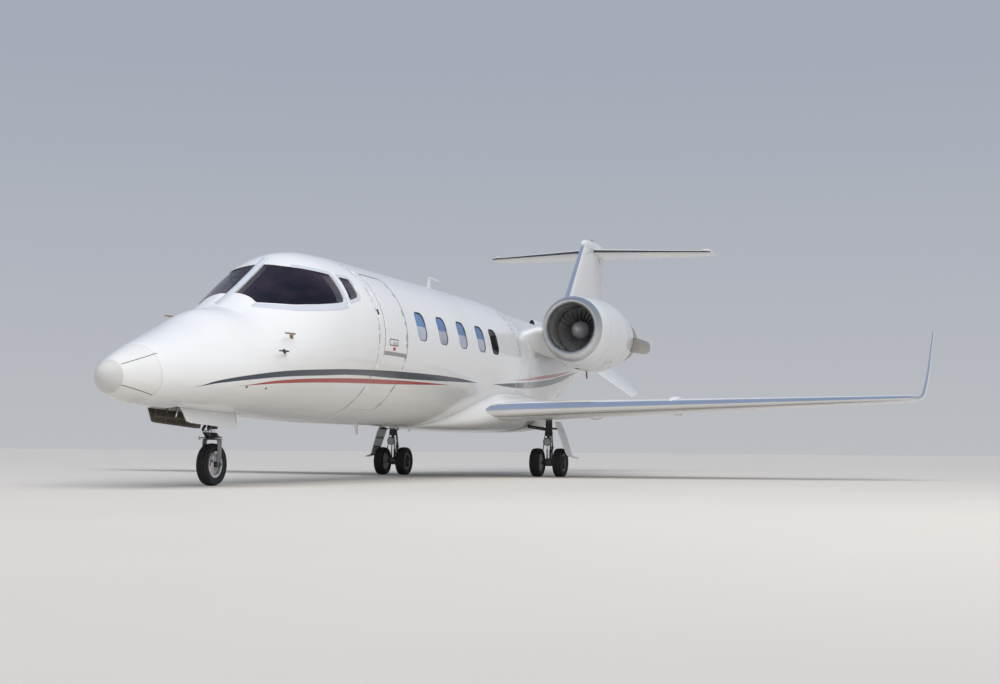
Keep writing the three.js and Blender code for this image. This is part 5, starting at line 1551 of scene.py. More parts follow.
NOSE_LAMP = [(0.0, 0.060), (0.018, 0.058), (0.036, 0.042), (0.048, 0.016), (0.051, 0.003), (0.051, -0.006),
             (0.047, -0.008), (0.047, 0.0), (0.0, 0.002)]
NOSE_LENS = [(0.0, -0.009), (0.026, -0.007), (0.046, -0.002), (0.046, 0.0005), (0.0, 0.0005)]
HUB_CAP = [(0.0, 0.052), (0.012, 0.052), (0.024, 0.046), (0.030, 0.034), (0.031, 0.026), (0.0, 0.026)]
BRAKE = [(0.03, -0.020), (0.094, -0.020), (0.097, -0.024), (0.097, -0.050), (0.094, -0.054), (0.03, -0.054)]
FORK_CROWN = [(0.0, 0), (0.056, 0), (0.060, 0.006), (0.058, 0.022), (0.046, 0.034), (0.0, 0.036)]
AXLE_NUT = [(0.0, 0), (0.026, 0), (0.026, 0.010), (0.0, 0.012)]
TOW_END = [(0.0, -0.006), (0.017, -0.006), (0.018, 0), (0.017, 0.006), (0.0, 0.006)]
NOSE_COLLAR = [(0.035, 0.585), (0.050, 0.585), (0.056, 0.592), (0.056, 0.612), (0.050, 0.620), (0.050, 0.80),
               (0.057, 0.808), (0.057, 0.85), (0.052, 0.858), (0.052, 1.0797), (0.035, 1.0797)]
# One arm of the nose fork, from the crown down to the axle: x, height
FORK_ARM = [(0.020, 0.512), (0.058, 0.506), (0.081, 0.478), (0.088, 0.430), (0.0885, 0.370), (0.089, 0.300),
            (0.089, 0.235), (0.089, 0.205)]
# The plate that rides on the main leg: x, height, half width
LEG_DOOR = [(1.385, 0.812, 0.150), (1.455, 0.640, 0.165), (1.530, 0.420, 0.150), (1.575, 0.315, 0.120),
            (1.690, 0.272, 0.095)]
# A main leg's hose: height, distance aft, share of its own distance outward
LEG_HOSE = [(0.80, -0.052, 0.3), (0.66, -0.070, 0.6), (0.50, -0.085, 0.9), (0.34, -0.080, 1.3),
            (0.255, -0.045, 1.5)]
# A nose leg's hose: x, distance aft, height
NOSE_HOSE = [(0.05, 0.03, 0.92), (0.075, 0.05, 0.80), (0.070, 0.06, 0.68), (0.058, 0.045, 0.62)]
# The lower edge of a nose gear door, front and rear: station, height, x
NOSE_DOOR = ((NOSE_BAY[0] + 0.015, 0.640, 0.196), (NOSE_BAY[1] - 0.015, 0.588, 0.216))
NOSE_DOOR_HINGE = 0.178
DRAG_TOP = (0, 1.43, 1.05)


def flipped(rows):
    """A profile's rows on the other side of the middle, in reverse order."""
    return [(r, -a) for r, a in rows[::-1]]


def pin(spot, half, radius, sides, axis=ACROSS):
    """A round bar that has its middle in a spot."""
    return bar(spot - axis * half, spot + axis * half, radius, sides)


def centred(x, station, z, half, tall, aft, bevel):
    """A block round a point, from half its width, half its height and half its length."""
    return block(at(x - half, station - aft, z - tall), at(x + half, station + aft, z + tall), bevel)


def tyre(centre, size, grooves, chine=False):
    """A tyre on an axle along X, with a rounded tread, grooves round it and plain sidewalls."""
    radius, width, rim = size
    half = width / 2
    tread = half * 0.56
    wall = [(0.52, 1), (0.68, 0.985)]
    if chine:
        wall += [(0.74, 1.02), (0.80, 1.16), (0.84, 1.10), (0.86, 0.90)]
    wall += [(0.88, 0.86), (0.955, 0.70)]
    bead = [(rim + rise, -half * out) for rise, out in ((0.001, 0.72), (0.010, 0.80), (0.030, 0.95))]
    flank = bead + [(lerp(rim, radius, rise), -half * out) for rise, out in wall]
    top = []
    for k in range(grooves):
        middle = lerp(-tread * 0.78, tread * 0.78, k / (grooves - 1))
        wide, edge = GROOVE_HALF, GROOVE_HALF + GROOVE_EDGE
        for offset, drop in ((-edge, 0), (-wide, GROOVE_DEPTH), (wide, GROOVE_DEPTH), (edge, 0)):
            along = middle + offset
            top.append((radius - 0.006 * (along / tread) ** 2 - drop, along))
    return lathe(flank + top + flipped(flank) + [(rim + 0.001, 0.0)], centre, ACROSS, 96, loop=True)


def wheel(centre, rim, half, out, holes=8):
    """A split wheel: a rim with bead flanges, a dished web with eyelets in it, and tie bolts."""
    outside = [(-0.014, -0.74), (0.006, -0.76), (0.010, -0.70), (-0.002, -0.62), (-0.006, -0.30)]
    inside = [(-0.020, 0.55), (-0.026, 0.1)]
    rows = outside + [(-0.012, 0)] + flipped(outside) + inside + flipped(inside)
    flange = lathe([(rim + r, half * a) for r, a in rows], centre, ACROSS, 72, loop=True)
    web = [(0.0, 0.030), (0.034, 0.030), (0.040, 0.022), (rim * 0.46, 0.010), (rim * 0.80, 0.004),
           (rim - 0.018, 0.020), (rim - 0.018, -0.006), (rim * 0.80, -0.012), (0.0, -0.012)]
    disc = lathe([(r, a * out) for r, a in web], centre, ACROSS, 72)
    eyelet = [(0.0125, 0), (0.0155, 0), (0.0155, 0.0025), (0.0125, 0.0025)]

    def spots(shift, share):
        for k in range(holes):
            a = math.tau * (k + shift) / holes
            yield Vector(centre) + Vector((0, math.cos(a), math.sin(a))) * rim * share
    bolts = [bar(spot + ACROSS * 0.004 * out, spot + ACROSS * 0.016 * out, 0.0065, 6, 0.001)
             for spot in spots(0.5, 0.62)]
    eyelets = [lathe(eyelet, spot + ACROSS * 0.0068 * out, ACROSS * out, 20, loop=True)
               for spot in spots(0, 0.64)]
    return merged(flange, disc), merged(*bolts, *eyelets)


def main_wheels(hand, way):
    body = f"main_wheels_{hand}"
    spots = [at(way * (TRACK_X + off), MAIN_STATION, MAIN_TYRE[0]) for off in (-TWIN_OFFSET, TWIN_OFFSET)]
    piece(f"main_tyres_{hand}", [(tyre(spot, MAIN_TYRE, 4), RUBBER) for spot in spots], body,
          [f"main_tyre_inner_{hand}", f"main_tyre_outer_{hand}"], crease=28)
    parts = []
    for spot, out in zip(spots, (-way, way)):
        disc, bolts = wheel(spot, MAIN_TYRE[2], MAIN_TYRE[1] / 2, out)
        parts += [(disc, MAIN_RIM_METAL), (bolts, WHEEL_METAL),
                  (lathe(HUB_CAP, spot, ACROSS * out, 32), DARK_METAL),
                  (lathe(BRAKE, spot, ACROSS * out, 48, loop=True), BURNT_METAL)]
    ends = [at(way * x, MAIN_STATION, MAIN_TYRE[0])
            for x in (TRACK_X - TWIN_OFFSET - 0.03, TRACK_X + TWIN_OFFSET + 0.03)]
    parts.append((bar(*ends, 0.030, 32), CHROME))
    piece(f"main_rims_{hand}", parts, body, [f"main_wheel_{hand}"], crease=35)


def on_main_leg(z, aft=0.0, out=0.0):
    return at(TRACK_X + out, MAIN_STATION + aft, z)


def torque_links():
    """The two pairs of arms behind the main leg, and the pins that join them."""
    knee = on_main_leg(0.435, 0.150)
    links, pins = [], []
    for foot in (on_main_leg(0.250, 0.045), on_main_leg(0.638, 0.050)):
        for out in (-0.020, 0.020):
            links.append(beam(foot + ACROSS * out * 1.4, knee + Vector((out * 0.7, -0.004, 0)), 0.014, 0.046,
                              ACROSS, 0.003))
        web = lerp(foot, knee, 0.35)
        links.append(beam(web - ACROSS * 0.02, web + ACROSS * 0.02, 0.012, 0.03, AFT, 0.002))
        pins.append(pin(foot, 0.042, 0.012, 20))
    return links, pins + [pin(knee, 0.034, 0.011, 20)]


def main_leg(hand, turn):
    outer = lathe(CYLINDER, on_main_leg(0.620), UP, 48)
    chrome = bar(on_main_leg(0.262), on_main_leg(0.64), 0.0365, 40)
    gland = lathe(GLAND, on_main_leg(0.604), UP, 40, loop=True)
    boss = lathe(AXLE_BOSS, on_main_leg(MAIN_TYRE[0]), ACROSS, 40, loop=True)
    lower = lathe(LEG_FOOT, on_main_leg(0.225), UP, 36)
    links, pins = torque_links()
    lugs = [centred(TRACK_X, MAIN_STATION + 0.043, z, 0.040, 0.022, 0.023, 0.006) for z in (0.250, 0.642)]
    brace_top = at(0.580, MAIN_STATION, 0.805)
    brace_foot = on_main_leg(0.700, 0, -0.02)
    mid = lerp(brace_foot, brace_top, 0.45)
    brace = bar(brace_foot, mid, 0.025, 32)
    rod = bar(mid, brace_top, 0.017, 32)
    collar = lathe(BRACE_COLLAR, mid, brace_top - mid, 32, loop=True)
    eye = pin(brace_foot, 0.035, 0.030, 28, AFT)
    bay_head = block(at(0.5403, MAIN_STATION - 0.050, 0.760), at(0.610, MAIN_STATION + 0.050, 0.8447), 0.006)
    bracket = block(on_main_leg(0.700, -0.030), at(1.425, MAIN_STATION + 0.030, 0.730), 0.005)
    hoses = []
    for out in (-0.055, 0.055):
        path = [on_main_leg(z, aft, out * share) for z, aft, share in LEG_HOSE]
        hoses.append(tube(smooth_path(path, 6), 0.0065, 10))
    clips = [centred(TRACK_X, MAIN_STATION - 0.065, z, 0.03, 0.006, 0.015, 0.002) for z in (0.64, 0.76)]
    lamp_at = on_main_leg(0.520, -0.094)
    lamp = lathe(TAXI_LAMP, lamp_at, (0, 1, 0.02), 40)
    lens = lathe(TAXI_LENS, lamp_at, (0, 1, 0.02), 40)
    arm = beam(lamp_at + AFT * 0.07, on_main_leg(0.640, -0.045), 0.035, 0.012, ACROSS, 0.003)
    parts = [(merged(outer, lower, boss, bracket, bay_head, *lugs, *links), LEG_DARK),
             (merged(brace, collar, eye, gland), DARK_GEAR), (merged(chrome, rod, *pins), CHROME),
             (merged(*hoses, *clips), BLACK_RUBBER_AND_SHADE), (merged(lamp, arm), DARK_METAL), (lens, LAMP_GLASS)]
    piece(f"main_leg_assembly_{hand}", [(turn(s), m) for s, m in parts], "airframe", [f"main_leg_{hand}"],
          crease=38)


def leg_door_sheet(low, high, trim=0.0, count=26, start=0.0, end=1.0):
    """A stretch of the curved plate on the main leg, between two distances from its middle."""
    knots = along_rows(LEG_DOOR, 0, 1)
    place_x, place_z, width = curves(LEG_DOOR, knots)
    rings = []
    for i in range(count + 1):
        s = knots[-1] * lerp(start, end, i / count)
        ahead = place_x(s + 0.01) - place_x(s - 0.01), place_z(s + 0.01) - place_z(s - 0.01)
        normal = Vector((-ahead[1], 0, ahead[0])).normalized()
        ease = min(1, math.sqrt(max(min(i, count - i), 0.25) / 3))
        w = (width(s) - trim) * lerp(0.86, 1, ease)
        base = at(place_x(s), MAIN_STATION, place_z(s))
        flank = [(low, w), (low + 0.0015, w + 0.001), (high, w - 0.003)]
        rings.append([base + normal * up - AFT * side for up, side in flank]
                     + [base + normal * up + AFT * side for up, side in flank[::-1]])
    return loft(rings)


def build_main_gear():
    for hand, way in (("left", 1), ("right", -1)):
        main_wheels(hand, way)
    skin = leg_door_sheet(0.002, 0.014)
    ribs = [leg_door_sheet(-0.006, 0.003, 0.03, 8, a, a + 0.04) for a in (0.15, 0.38, 0.60, 0.82)]
    for hand, turn in HANDS:
        main_leg(hand, turn)
        piece(f"main_leg_door_plate_{hand}", [(turn(skin), PLAIN_WHITE), (turn(merged(*ribs)), LEG_DARK)],
              "airframe", [f"main_leg_door_{hand}"], crease=35)


def on_nose_leg(x, aft, z):
    return at(x, NOSE_STATION + aft, z)


def fork_arm(way):
    rings = []
    fine = smooth_path([Vector((x, 0, z)) for x, z in FORK_ARM], 5)
    last = len(fine) - 1
    for i, spot in enumerate(fine):
        ahead = (fine[min(i + 1, last)] - fine[max(i - 1, 0)]).normalized()
        out = Vector((-ahead.z, 0, ahead.x))
        share = i / last
        wide, deep = lerp(0.022, 0.0145, min(1, share * 2)), lerp(0.046, 0.030, share)
        ring = []
        for t in turns(20):
            spread = wide * math.cos(t)
            ring.append(on_nose_leg(way * (spot.x + out.x * spread), deep * math.sin(t),
                                    spot.z + out.z * spread))
        rings.append(ring)
    return loft(rings)


def nose_wheel_and_fork():
    centre = at(0, NOSE_STATION, NOSE_TYRE[0])
    round_tyre = tyre(centre, NOSE_TYRE, 3, chine=True)
    piece("nose_tyre_round", [(round_tyre, RUBBER)], "nose_wheel", ["nose_tyre"], crease=28)
    parts = []
    for out in (-1, 1):
        disc, bolts = wheel(centre + ACROSS * out * 0.012, NOSE_TYRE[2], NOSE_TYRE[1] / 2 - 0.008, out)
        parts += [(disc, WHEEL_METAL), (bolts, CHROME)]
    mark = block((0.0405, centre.y - 0.112, centre.z - 0.016), (0.0485, centre.y - 0.098, centre.z + 0.016),
                 0.0005, 1)
    parts += [(pin(centre, 0.060, 0.030, 32), DARK_METAL), (mark, RED_PLASTIC)]
    piece("nose_rim", parts, "nose_wheel", ["nose_wheel"], crease=35)

    arms = []
    for way in (-1, 1):
        arms.append(fork_arm(way))
        arms.append(bar(centre + ACROSS * way * 0.073, centre + ACROSS * way * 0.100, 0.030, 32))
    crown = block(at(-0.062, NOSE_STATION - 0.048, 0.474), at(0.062, NOSE_STATION + 0.048, 0.522), 0.020, 4)
    crown_top = lathe(FORK_CROWN, on_nose_leg(0, 0, 0.515), UP, 40)
    stem = bar(on_nose_leg(0, 0, 0.50), on_nose_leg(0, 0, 0.77), 0.0335, 40)
    nuts = [lathe(AXLE_NUT, centre + ACROSS * way * 0.0955, ACROSS * way, 6) for way in (-1, 1)]
    tow_at = on_nose_leg(0, -0.030, 0.492)
    tow_ends = [lathe(TOW_END, tow_at + ACROSS * way * 0.131, ACROSS, 24) for way in (-1, 1)]
    knee = on_nose_leg(0, -0.150, 0.560)
    links = [beam(on_nose_leg(out, -0.040, 0.500), knee + Vector((out * 0.6, 0, -0.004)), 0.012, 0.036,
                  ACROSS, 0.003) for out in (-0.026, 0.026)]
    bright = merged(stem, pin(centre, 0.106, 0.020, 28), pin(tow_at, 0.135, 0.011, 24), *tow_ends,
                    pin(knee, 0.034, 0.010, 20))
    parts = [(merged(*arms), FORK_METAL), (merged(crown, crown_top, *links), DARK_GEAR), (bright, CHROME),
             (merged(*nuts), DARK_METAL)]
    piece("nose_fork_assembly", parts, "nose_fork", ["nose_fork"], crease=38)


def nose_leg():
    collar = lathe(NOSE_COLLAR, on_nose_leg(0, 0, 0), UP, 48, loop=True)
    trunnion = pin(on_nose_leg(0, 0, 0.975), 0.1897, 0.040, 36)
    drag_foot, drag_top = on_nose_leg(0, -0.02, 0.80), at(*DRAG_TOP)
    drag = bar(drag_foot, drag_top, 0.022, 28)
    drag_rod = bar(lerp(drag_foot, drag_top, 0.25), lerp(drag_foot, drag_top, 0.6), 0.028, 28)
    head = block(at(-0.06, 1.39, 1.02), at(0.06, 1.47, 1.0797), 0.006)
    scissors = [beam(on_nose_leg(out, -0.052, 0.640), on_nose_leg(out * 0.7, -0.148, 0.572), 0.012, 0.034,
                     ACROSS, 0.003) for out in (-0.044, 0.044)]
    steer = [block(at(-0.062, NOSE_STATION - 0.062, 0.675), at(0.062, NOSE_STATION + 0.062, 0.745), 0.014, 3),
             bar(on_nose_leg(0.062, 0.02, 0.71), on_nose_leg(0.115, 0.02, 0.71), 0.026, 24)]
    lamp_at = on_nose_leg(0, -0.090, 0.78)
    hoses = [tube(smooth_path([on_nose_leg(way * x, aft, z) for x, aft, z in NOSE_HOSE], 6), 0.006, 10)
             for way in (-1, 1)]
    parts = [(merged(collar, trunnion, head, drag, *steer), LEG_DARK), (merged(*scissors), DARK_GEAR),
             (drag_rod, CHROME), (merged(*hoses), BLACK_RUBBER_AND_SHADE),
             (lathe(NOSE_LAMP, lamp_at, AFT, 36), DARK_METAL),
             (lathe(NOSE_LENS, lamp_at, AFT, 36), LAMP_GLASS)]
    piece("nose_leg_assembly", parts, "airframe", ["nose_leg"], crease=38)


def nose_door_edge(t):
    return (lerp(a, b, t) for a, b in zip(*NOSE_DOOR))


def nose_door_sheet(top, inside, outside, lift=0.0):
    """A hanging nose gear door, or its liner, between two distances from the door's inner face."""
    rings = []
    for i in range(25):
        t = i / 24
        y, z, foot = nose_door_edge(t)
        low = z + 0.012 * (1 - min(1, min(i, 24 - i) / 2)) + lift
        slant = (1 - t) * DOOR_SLANT
        y0, y1, y2 = y + slant * 0.3, y + slant * 0.7, y + slant
        mid, half = lerp(NOSE_DOOR_HINGE, foot, 0.5) + 0.0025, lerp(top, z, 0.5)
        rings.append([at(NOSE_DOOR_HINGE + inside, y0, top), at(NOSE_DOOR_HINGE + outside, y0, top),
                      at(mid + outside, y1, half), at(foot + outside, y2, low), at(foot + inside, y2, low),
                      at(mid + inside, y1, half)])
    return loft(rings)


def nose_door(hand, turn):
    top = hull_at(NOSE_BAY[0])[1] + 0.04
    hull = loft(hull_rings(0.7, 2.6, 0.05, 96, -0.001))
    panel = turn(nose_door_sheet(top, 0, 0.0115))
    lining = turn(nose_door_sheet(top, -0.0030, -0.0004, 0.002))
    carve(piece(f"nose_door_panel_{hand}", [(panel, PLAIN_WHITE)], "airframe", [f"nose_door_{hand}"],
                crease=35), hull)
    carve(piece(f"nose_door_liner_{hand}", [(lining, DOOR_INNER)], "airframe", crease=35), hull)
    front, rear = NOSE_DOOR
    ribs = []
    for k in range(5):
        y = lerp(1.24, 2.06, k / 4)
        _, z, foot = nose_door_edge((y - front[0]) / (rear[0] - front[0]))
        ribs.append(beam(at(0.174, y, 0.80), at(foot - 0.005, y, z + 0.02), 0.022, 0.008, AFT, 0.002))
    for s in (0.62, 0.93):
        ends = [at(lerp(NOSE_DOOR_HINGE, edge[2], s) - off, y, lerp(top, edge[1], s))
                for edge, y, off in ((front, 1.20, 0.005), (rear, 2.15, 0.003))]
        ribs.append(beam(*ends, 0.020, 0.008, UP, 0.002))
    rod = bar(at(0.172, 1.60, 0.70), at(0.10, 1.62, 0.98), 0.009, 16)
    piece(f"nose_door_frame_{hand}", [(turn(merged(*ribs)), DOOR_RIB), (turn(rod), CHROME)], "airframe",
          crease=35)


def build_nose_gear():
    nose_wheel_and_fork()
    nose_leg()
    both_sides(nose_door)
    ribs = []
    for k in range(7):
        y = lerp(1.08, 2.12, k / 6)
        ribs.append(block(at(-0.186, y - 0.010, 1.052), at(0.186, y + 0.010, 1.079), 0.003))
        for x0, x1 in ((-0.1885, -0.164), (0.164, 0.1885)):
            ribs.append(block(at(x0, y - 0.010, 0.82), at(x1, y + 0.010, 1.07), 0.003))
    piece("nose_bay_frames", [(merged(*ribs), LEG_DARK)], "airframe", crease=35)


# Cabin: floor, seats, instrument panel
FLOOR_Z = 1.0
SEAT_ROWS = [5.15, 6.30, 7.45]
SEAT_X = 0.38
PILOT_ROW, PILOT_X = 3.30, 0.33


def cushion(low, high, puff=0.03):
    """A padded block with a crowned upper face."""
    low, high = Vector(low), Vector(high)
    middle = (low + high) / 2
    half = (high - low) / 2
    rings = []
    for i in range(13):
        v = -1 + 2 * i / 12
        shrink = (1 - abs(v) ** 6) ** (1 / 6) if abs(v) < 1 else 0.001
        ring = []
        for c, s in (squared(a, 0.4) for a in turns(40)):
            lift = puff * max(0, v) * (1 - c * c) * (1 - s * s)
            ring.append(middle + Vector((half.x * c * shrink, half.y * s * shrink, half.z * v + lift)))
        rings.append(ring)
    return loft(rings)


def on_floor(x, station, z):
    return at(x, station, FLOOR_Z + z)


def seat(x, station, width=0.48):
    """The plain base and the pads of a seat that faces forward."""
    w = width / 2
    base = [centred(x, station, FLOOR_Z + 0.05, 0.15, 0.05, 0.18, 0.012),
            centred(x, station, FLOOR_Z + 0.16, 0.09, 0.06, 0.10, 0.012)]
    pads = [cushion(on_floor(x - w + 0.045, station - 0.255, 0.21),
                    on_floor(x + w - 0.045, station + 0.20, 0.37), 0.02)]
    lean = Matrix.Rotation(math.radians(-12), 4, "X")
    place = Matrix.Translation(on_floor(x, station + 0.245, 0.30)) @ lean
    for low, high in (((-w + 0.06, -0.055, 0.0), (w - 0.06, 0.062, 0.52)),
                      ((-0.13, -0.050, 0.50), (0.13, 0.050, 0.65))):
        pads.append(turned(cushion(low, high, 0.0), place))
    for way in (-1, 1):
        x0, x1 = sorted((x + way * (w - 0.055), x + way * (w - 0.005)))
        pads.append(cushion(on_floor(x0, station - 0.20, 0.32), on_floor(x1, station + 0.20, 0.52), 0.0))
    return merged(*base), merged(*pads)


def build_panel():
    panel = block(on_floor(-0.60, 2.56, 0.25), on_floor(0.60, 2.72, 0.66), 0.015)
    console = block(on_floor(-0.09, 2.60, 0.0005), on_floor(0.09, 3.05, 0.42), 0.012)
    hood = []
    for x in (-0.60, -0.56, -0.3, 0, 0.3, 0.56, 0.60):
        rise = 0.045 * (1 - (x / 0.62) ** 4)
        crest = [(2.46, 0.665), (2.70, 0.68), (2.79, 0.672), (2.795, 0.655)]
        hood.append([on_floor(x, 2.44, 0.64)] + [on_floor(x, s, z + rise) for s, z in crest]
                    + [on_floor(x, 2.60, 0.64)])
    screens = [block(on_floor(x - 0.085, 2.719, 0.36), on_floor(x + 0.085, 2.726, 0.55), 0.002)
               for x in (-0.45, -0.25, 0.25, 0.45)]
    knobs = [bar(on_floor(-0.10 + 0.05 * k, 2.718, z), on_floor(-0.10 + 0.05 * k, 2.736, z), 0.008, 14)
             for k in range(5) for z in (0.60, 0.33)]
    levers = [merged(bar(on_floor(x, 2.86, 0.42), on_floor(x, 2.82, 0.52), 0.006, 12),
                     pin(on_floor(x, 2.82, 0.525), 0.014, 0.012, 16)) for x in (-0.02, 0.02)]
    parts = [(merged(panel, console, loft(hood)), PANEL_AND_SHADE_BLACK), (merged(*screens), SCREEN_GLASS),
             (merged(*knobs, *levers), DARK_METAL)]
    piece("instrument_panel_board", parts, "airframe", ["instrument_panel"], crease=35)

    horn = [(0.14, 2.93, 0.56), (0.15, 2.93, 0.49), (0.09, 2.93, 0.43)]
    yokes = []
    for x in (-0.33, 0.33):
        yokes.append(bar(on_floor(x, 2.72, 0.42), on_floor(x, 2.92, 0.44), 0.016, 20))
        path = [on_floor(x - u, s, z) for u, s, z in horn] + [on_floor(x, 2.92, 0.44)]
        path += [on_floor(x + u, s, z) for u, s, z in horn[::-1]]
        yokes.append(tube(smooth_path(path, 6), 0.014, 14))
    piece("control_yokes", [(merged(*yokes), PANEL_AND_SHADE_BLACK)], "airframe", crease=40)


def build_cabin():
    deck = []
    for s in (2.46, 3.0, 4.0, 6.0, 8.0, 9.19):
        half = max(min(hull_side(s, FLOOR_Z) - WALL - 0.003, 0.9), 0.3)
        deck.append([on_floor(x, s, z) for x, z in ((-half, -0.05), (half, -0.05), (half, 0), (-half, 0))])
    places = [(way * SEAT_X, row) for row in SEAT_ROWS for way in (1, -1)]
    places += [(PILOT_X, PILOT_ROW), (-PILOT_X, PILOT_ROW)]
    frames, pads = zip(*(seat(x, s) for x, s in places))
    piece("cabin_deck", [(loft(deck), CARPET)], "airframe", ["cabin_floor"], crease=30)
    piece("seats", [(merged(*frames), DARK_METAL), (merged(*pads), LEATHER)], "airframe",
          crease=45)
    build_panel()


# Small outside parts
def on_skin(station, z, lift=0.0):
    point = at(hull_side(station, z), station, z)
    return point + hull_normal(point) * lift


def ribbon(points, normals, width, thick, closed=False, sink=0.001):
    """A thin strip that lies on the skin along a path."""
    w = width / 2
    shoulder = thick * 0.6
    profile = [(-w, -sink), (-w, shoulder), (-w * 0.8, thick), (w * 0.8, thick), (w, shoulder), (w, -sink)]
    return sweep(points, normals, profile, closed)


def skin_strip(outline, width, thick, closed=False):
    """A thin strip on the hull's port side along a path of (station, height) points."""
    points = [on_skin(s, z) for s, z in outline]
    return ribbon(points, [hull_normal(p) for p in points], width, thick, closed)


POST_TRIM_HALF = 0.043
DEFOG_FRONT, DEFOG_BACK, DEFOG_HALF = 1.99, 2.315, 0.34
LAST_WINDOWS = 8
BLIND_DEPTHS = (0.044, 0.052)
SEAL_SECTION = [(-0.005, -0.004), (-0.005, 0.003), (0.005, 0.003), (0.005, -0.004)]
# Strips of the windshield's frame: points of (station, height), then the width
FRAME_STRIPS = (
    ([(2.20, 1.892), (2.40, 1.885), (2.64, 1.884), (2.98, 1.917), (3.31, 1.960), (3.455, 1.990)], 0.078),
    ([(3.457, 2.003), (3.508, 2.345)], 0.050),
    ([(3.508, 2.352), (3.244, 2.384), (3.10, 2.402)], 0.060),
)


def centre_post():
    rings = []
    for k in range(26):
        s = lerp(2.09, 3.14, k / 25)
        slope = hull_crown(s + 0.02, 0) - hull_crown(s - 0.02, 0)
        normal = Vector((0, -slope, 0.04)).normalized()
        base = at(0, s, hull_crown(s, 0))
        flank = [(1, 0, -0.012), (1, 0.010, -0.004), (0.7, 0.016, 0)]

        def spots(way, rows):
            return [base + normal * lift + Vector((way * POST_TRIM_HALF * share, 0, drop))
                    for share, lift, drop in rows]
        rings.append(spots(-1, flank) + [base + normal * 0.017] + spots(1, flank[::-1]))
    return loft(rings)


def defog_fairing():
    """The low double hump ahead of the windshield."""
    rings = []
    for k in range(41):
        x = lerp(-DEFOG_HALF, DEFOG_HALF, k / 40)
        edge = max(0.0, 1 - abs((abs(x) - 0.165) / 0.170) ** 3)
        back = DEFOG_BACK + 0.12 * (DEFOG_HALF - abs(x)) * 0.2
        spots = [(DEFOG_FRONT, -0.006)]
        for j in range(1, 15):
            t = j / 14
            spots.append((lerp(DEFOG_FRONT, back, t), 0.032 * edge * (1 - (1 - t) ** 2.2)))
        spots += [(back + 0.004, 0.018 * edge), (back, -0.030), (DEFOG_FRONT, -0.030)]
        rings.append([at(x, s, hull_crown(s, x) + lift) for s, lift in spots])
    return loft(rings)


def build_window_trim():
    middle = [sum(p[k] for p in SIDE_WINDOW) / 4 for k in (0, 1)]
    wider = [(lerp(middle[0], s, 1.17), lerp(middle[1], z, 1.17)) for s, z in SIDE_WINDOW]
    strips = [skin_strip(filled(outline, 6), width, 0.004) for outline, width in FRAME_STRIPS]
    strips.append(skin_strip(rounded(wider, 0.05, 8), 0.040, 0.003, True))
    piece("windshield_centre_post", [(centre_post(), FRAME_PAINT_AND_SKY)], "airframe", crease=40)
    for hand, turn in HANDS:
        piece(f"windshield_frame_{hand}", [(turn(strip), FRAME_PAINT_AND_SKY) for strip in strips], "airframe",
              crease=40)
    piece("defog_fairing", [(defog_fairing(), PLAIN_WHITE)], "airframe", crease=50)

    blinds_and_shade_sheets, seals = [], []
    for way, hand in ((1, "left"), (-1, "right")):
        for middle in WINDOWS[hand]:
            # Windows ahead of the last get a real blind over their lower half; the last gets a black sheet
            # over its full height, which is painted shade of the cabin
            cabin = middle < LAST_WINDOWS
            limit = lerp(WINDOW_LOW, WINDOW_HIGH, 0.50 if cabin else 1.0)
            outline = [(s, min(z, limit)) for s, z in window_outline(middle, 0.012)]
            rings = [[at(way * (hull_side(s, z) - depth), s, z) for s, z in outline]
                     for depth in BLIND_DEPTHS]
            blinds_and_shade_sheets.append((loft(rings), BLIND if cabin else PANEL_AND_SHADE_BLACK))
            points = [on_skin(s, z) for s, z in window_outline(middle, -0.004)]
            normals = [hull_normal(p) for p in points]
            points = [p - n * 0.008 for p, n in zip(points, normals)]
            ring = sweep(points, normals, SEAL_SECTION)
            seals.append(ring if way == 1 else mirrored(ring))
    piece("window_blinds_and_painted_shade", blinds_and_shade_sheets, "airframe", crease=40)
    piece("window_seals", [(merged(*seals), SEAL)], "airframe", crease=40)


# Conductive strips on the radome, from front to rear: station, height
RADOME_STRIPS = (((0.15, 1.155), (0.557, 1.28)), ((0.135, 0.961), (0.501, 0.882)))
DOOR_LINE = 0.012
DRAIN = 11.5
DUCT_BAND = 10.86
WICKS = (4.3, 4.9, 5.5, 6.1)
TRACK_COVERS = (1.9, 3.1)


def blade(station, chord, foot, height, lean, rows):
    """A swept blade antenna over its foot, or under it where the height is negative."""
    rings = []
    for k in range(rows):
        t = k / (rows - 1)
        half = chord * (1 - 0.45 * t) / 2
        front = station + lean * t * abs(height)
        thin = 0.006 * (1 - 0.4 * t)
        rings.append([at(thin * math.sin(a), front + half * (1 - math.cos(a)), foot + height * t)
                      for a in turns(16)])
    return loft(rings)


def probe(station, z, length, radius, drop):
    """A pressure probe on a short mast beside the nose."""
    root = on_skin(station, z, -0.004)
    normal = hull_normal(on_skin(station, z))
    knee = root + normal * 0.060 + Vector((0, -0.02, -drop))
    tip = knee + Vector((0, -length, -0.004))
    foot = lathe([(0.0, 0), (0.024, 0), (0.026, 0.004), (0.021, 0.008), (0.0, 0.009)], root, normal, 28)
    flat = normal.cross(AFT)
    mast = loft([[p + AFT * 0.022 * math.cos(a) + flat * 0.006 * math.sin(a) for a in turns(14)]
                 for p in (root, lerp(root, knee, 0.5), knee)])
    rod = tube([knee + AFT * 0.02, lerp(knee, tip, 0.5), tip], [radius, radius, radius * 0.7], 14)
    return merged(foot, mast, rod)


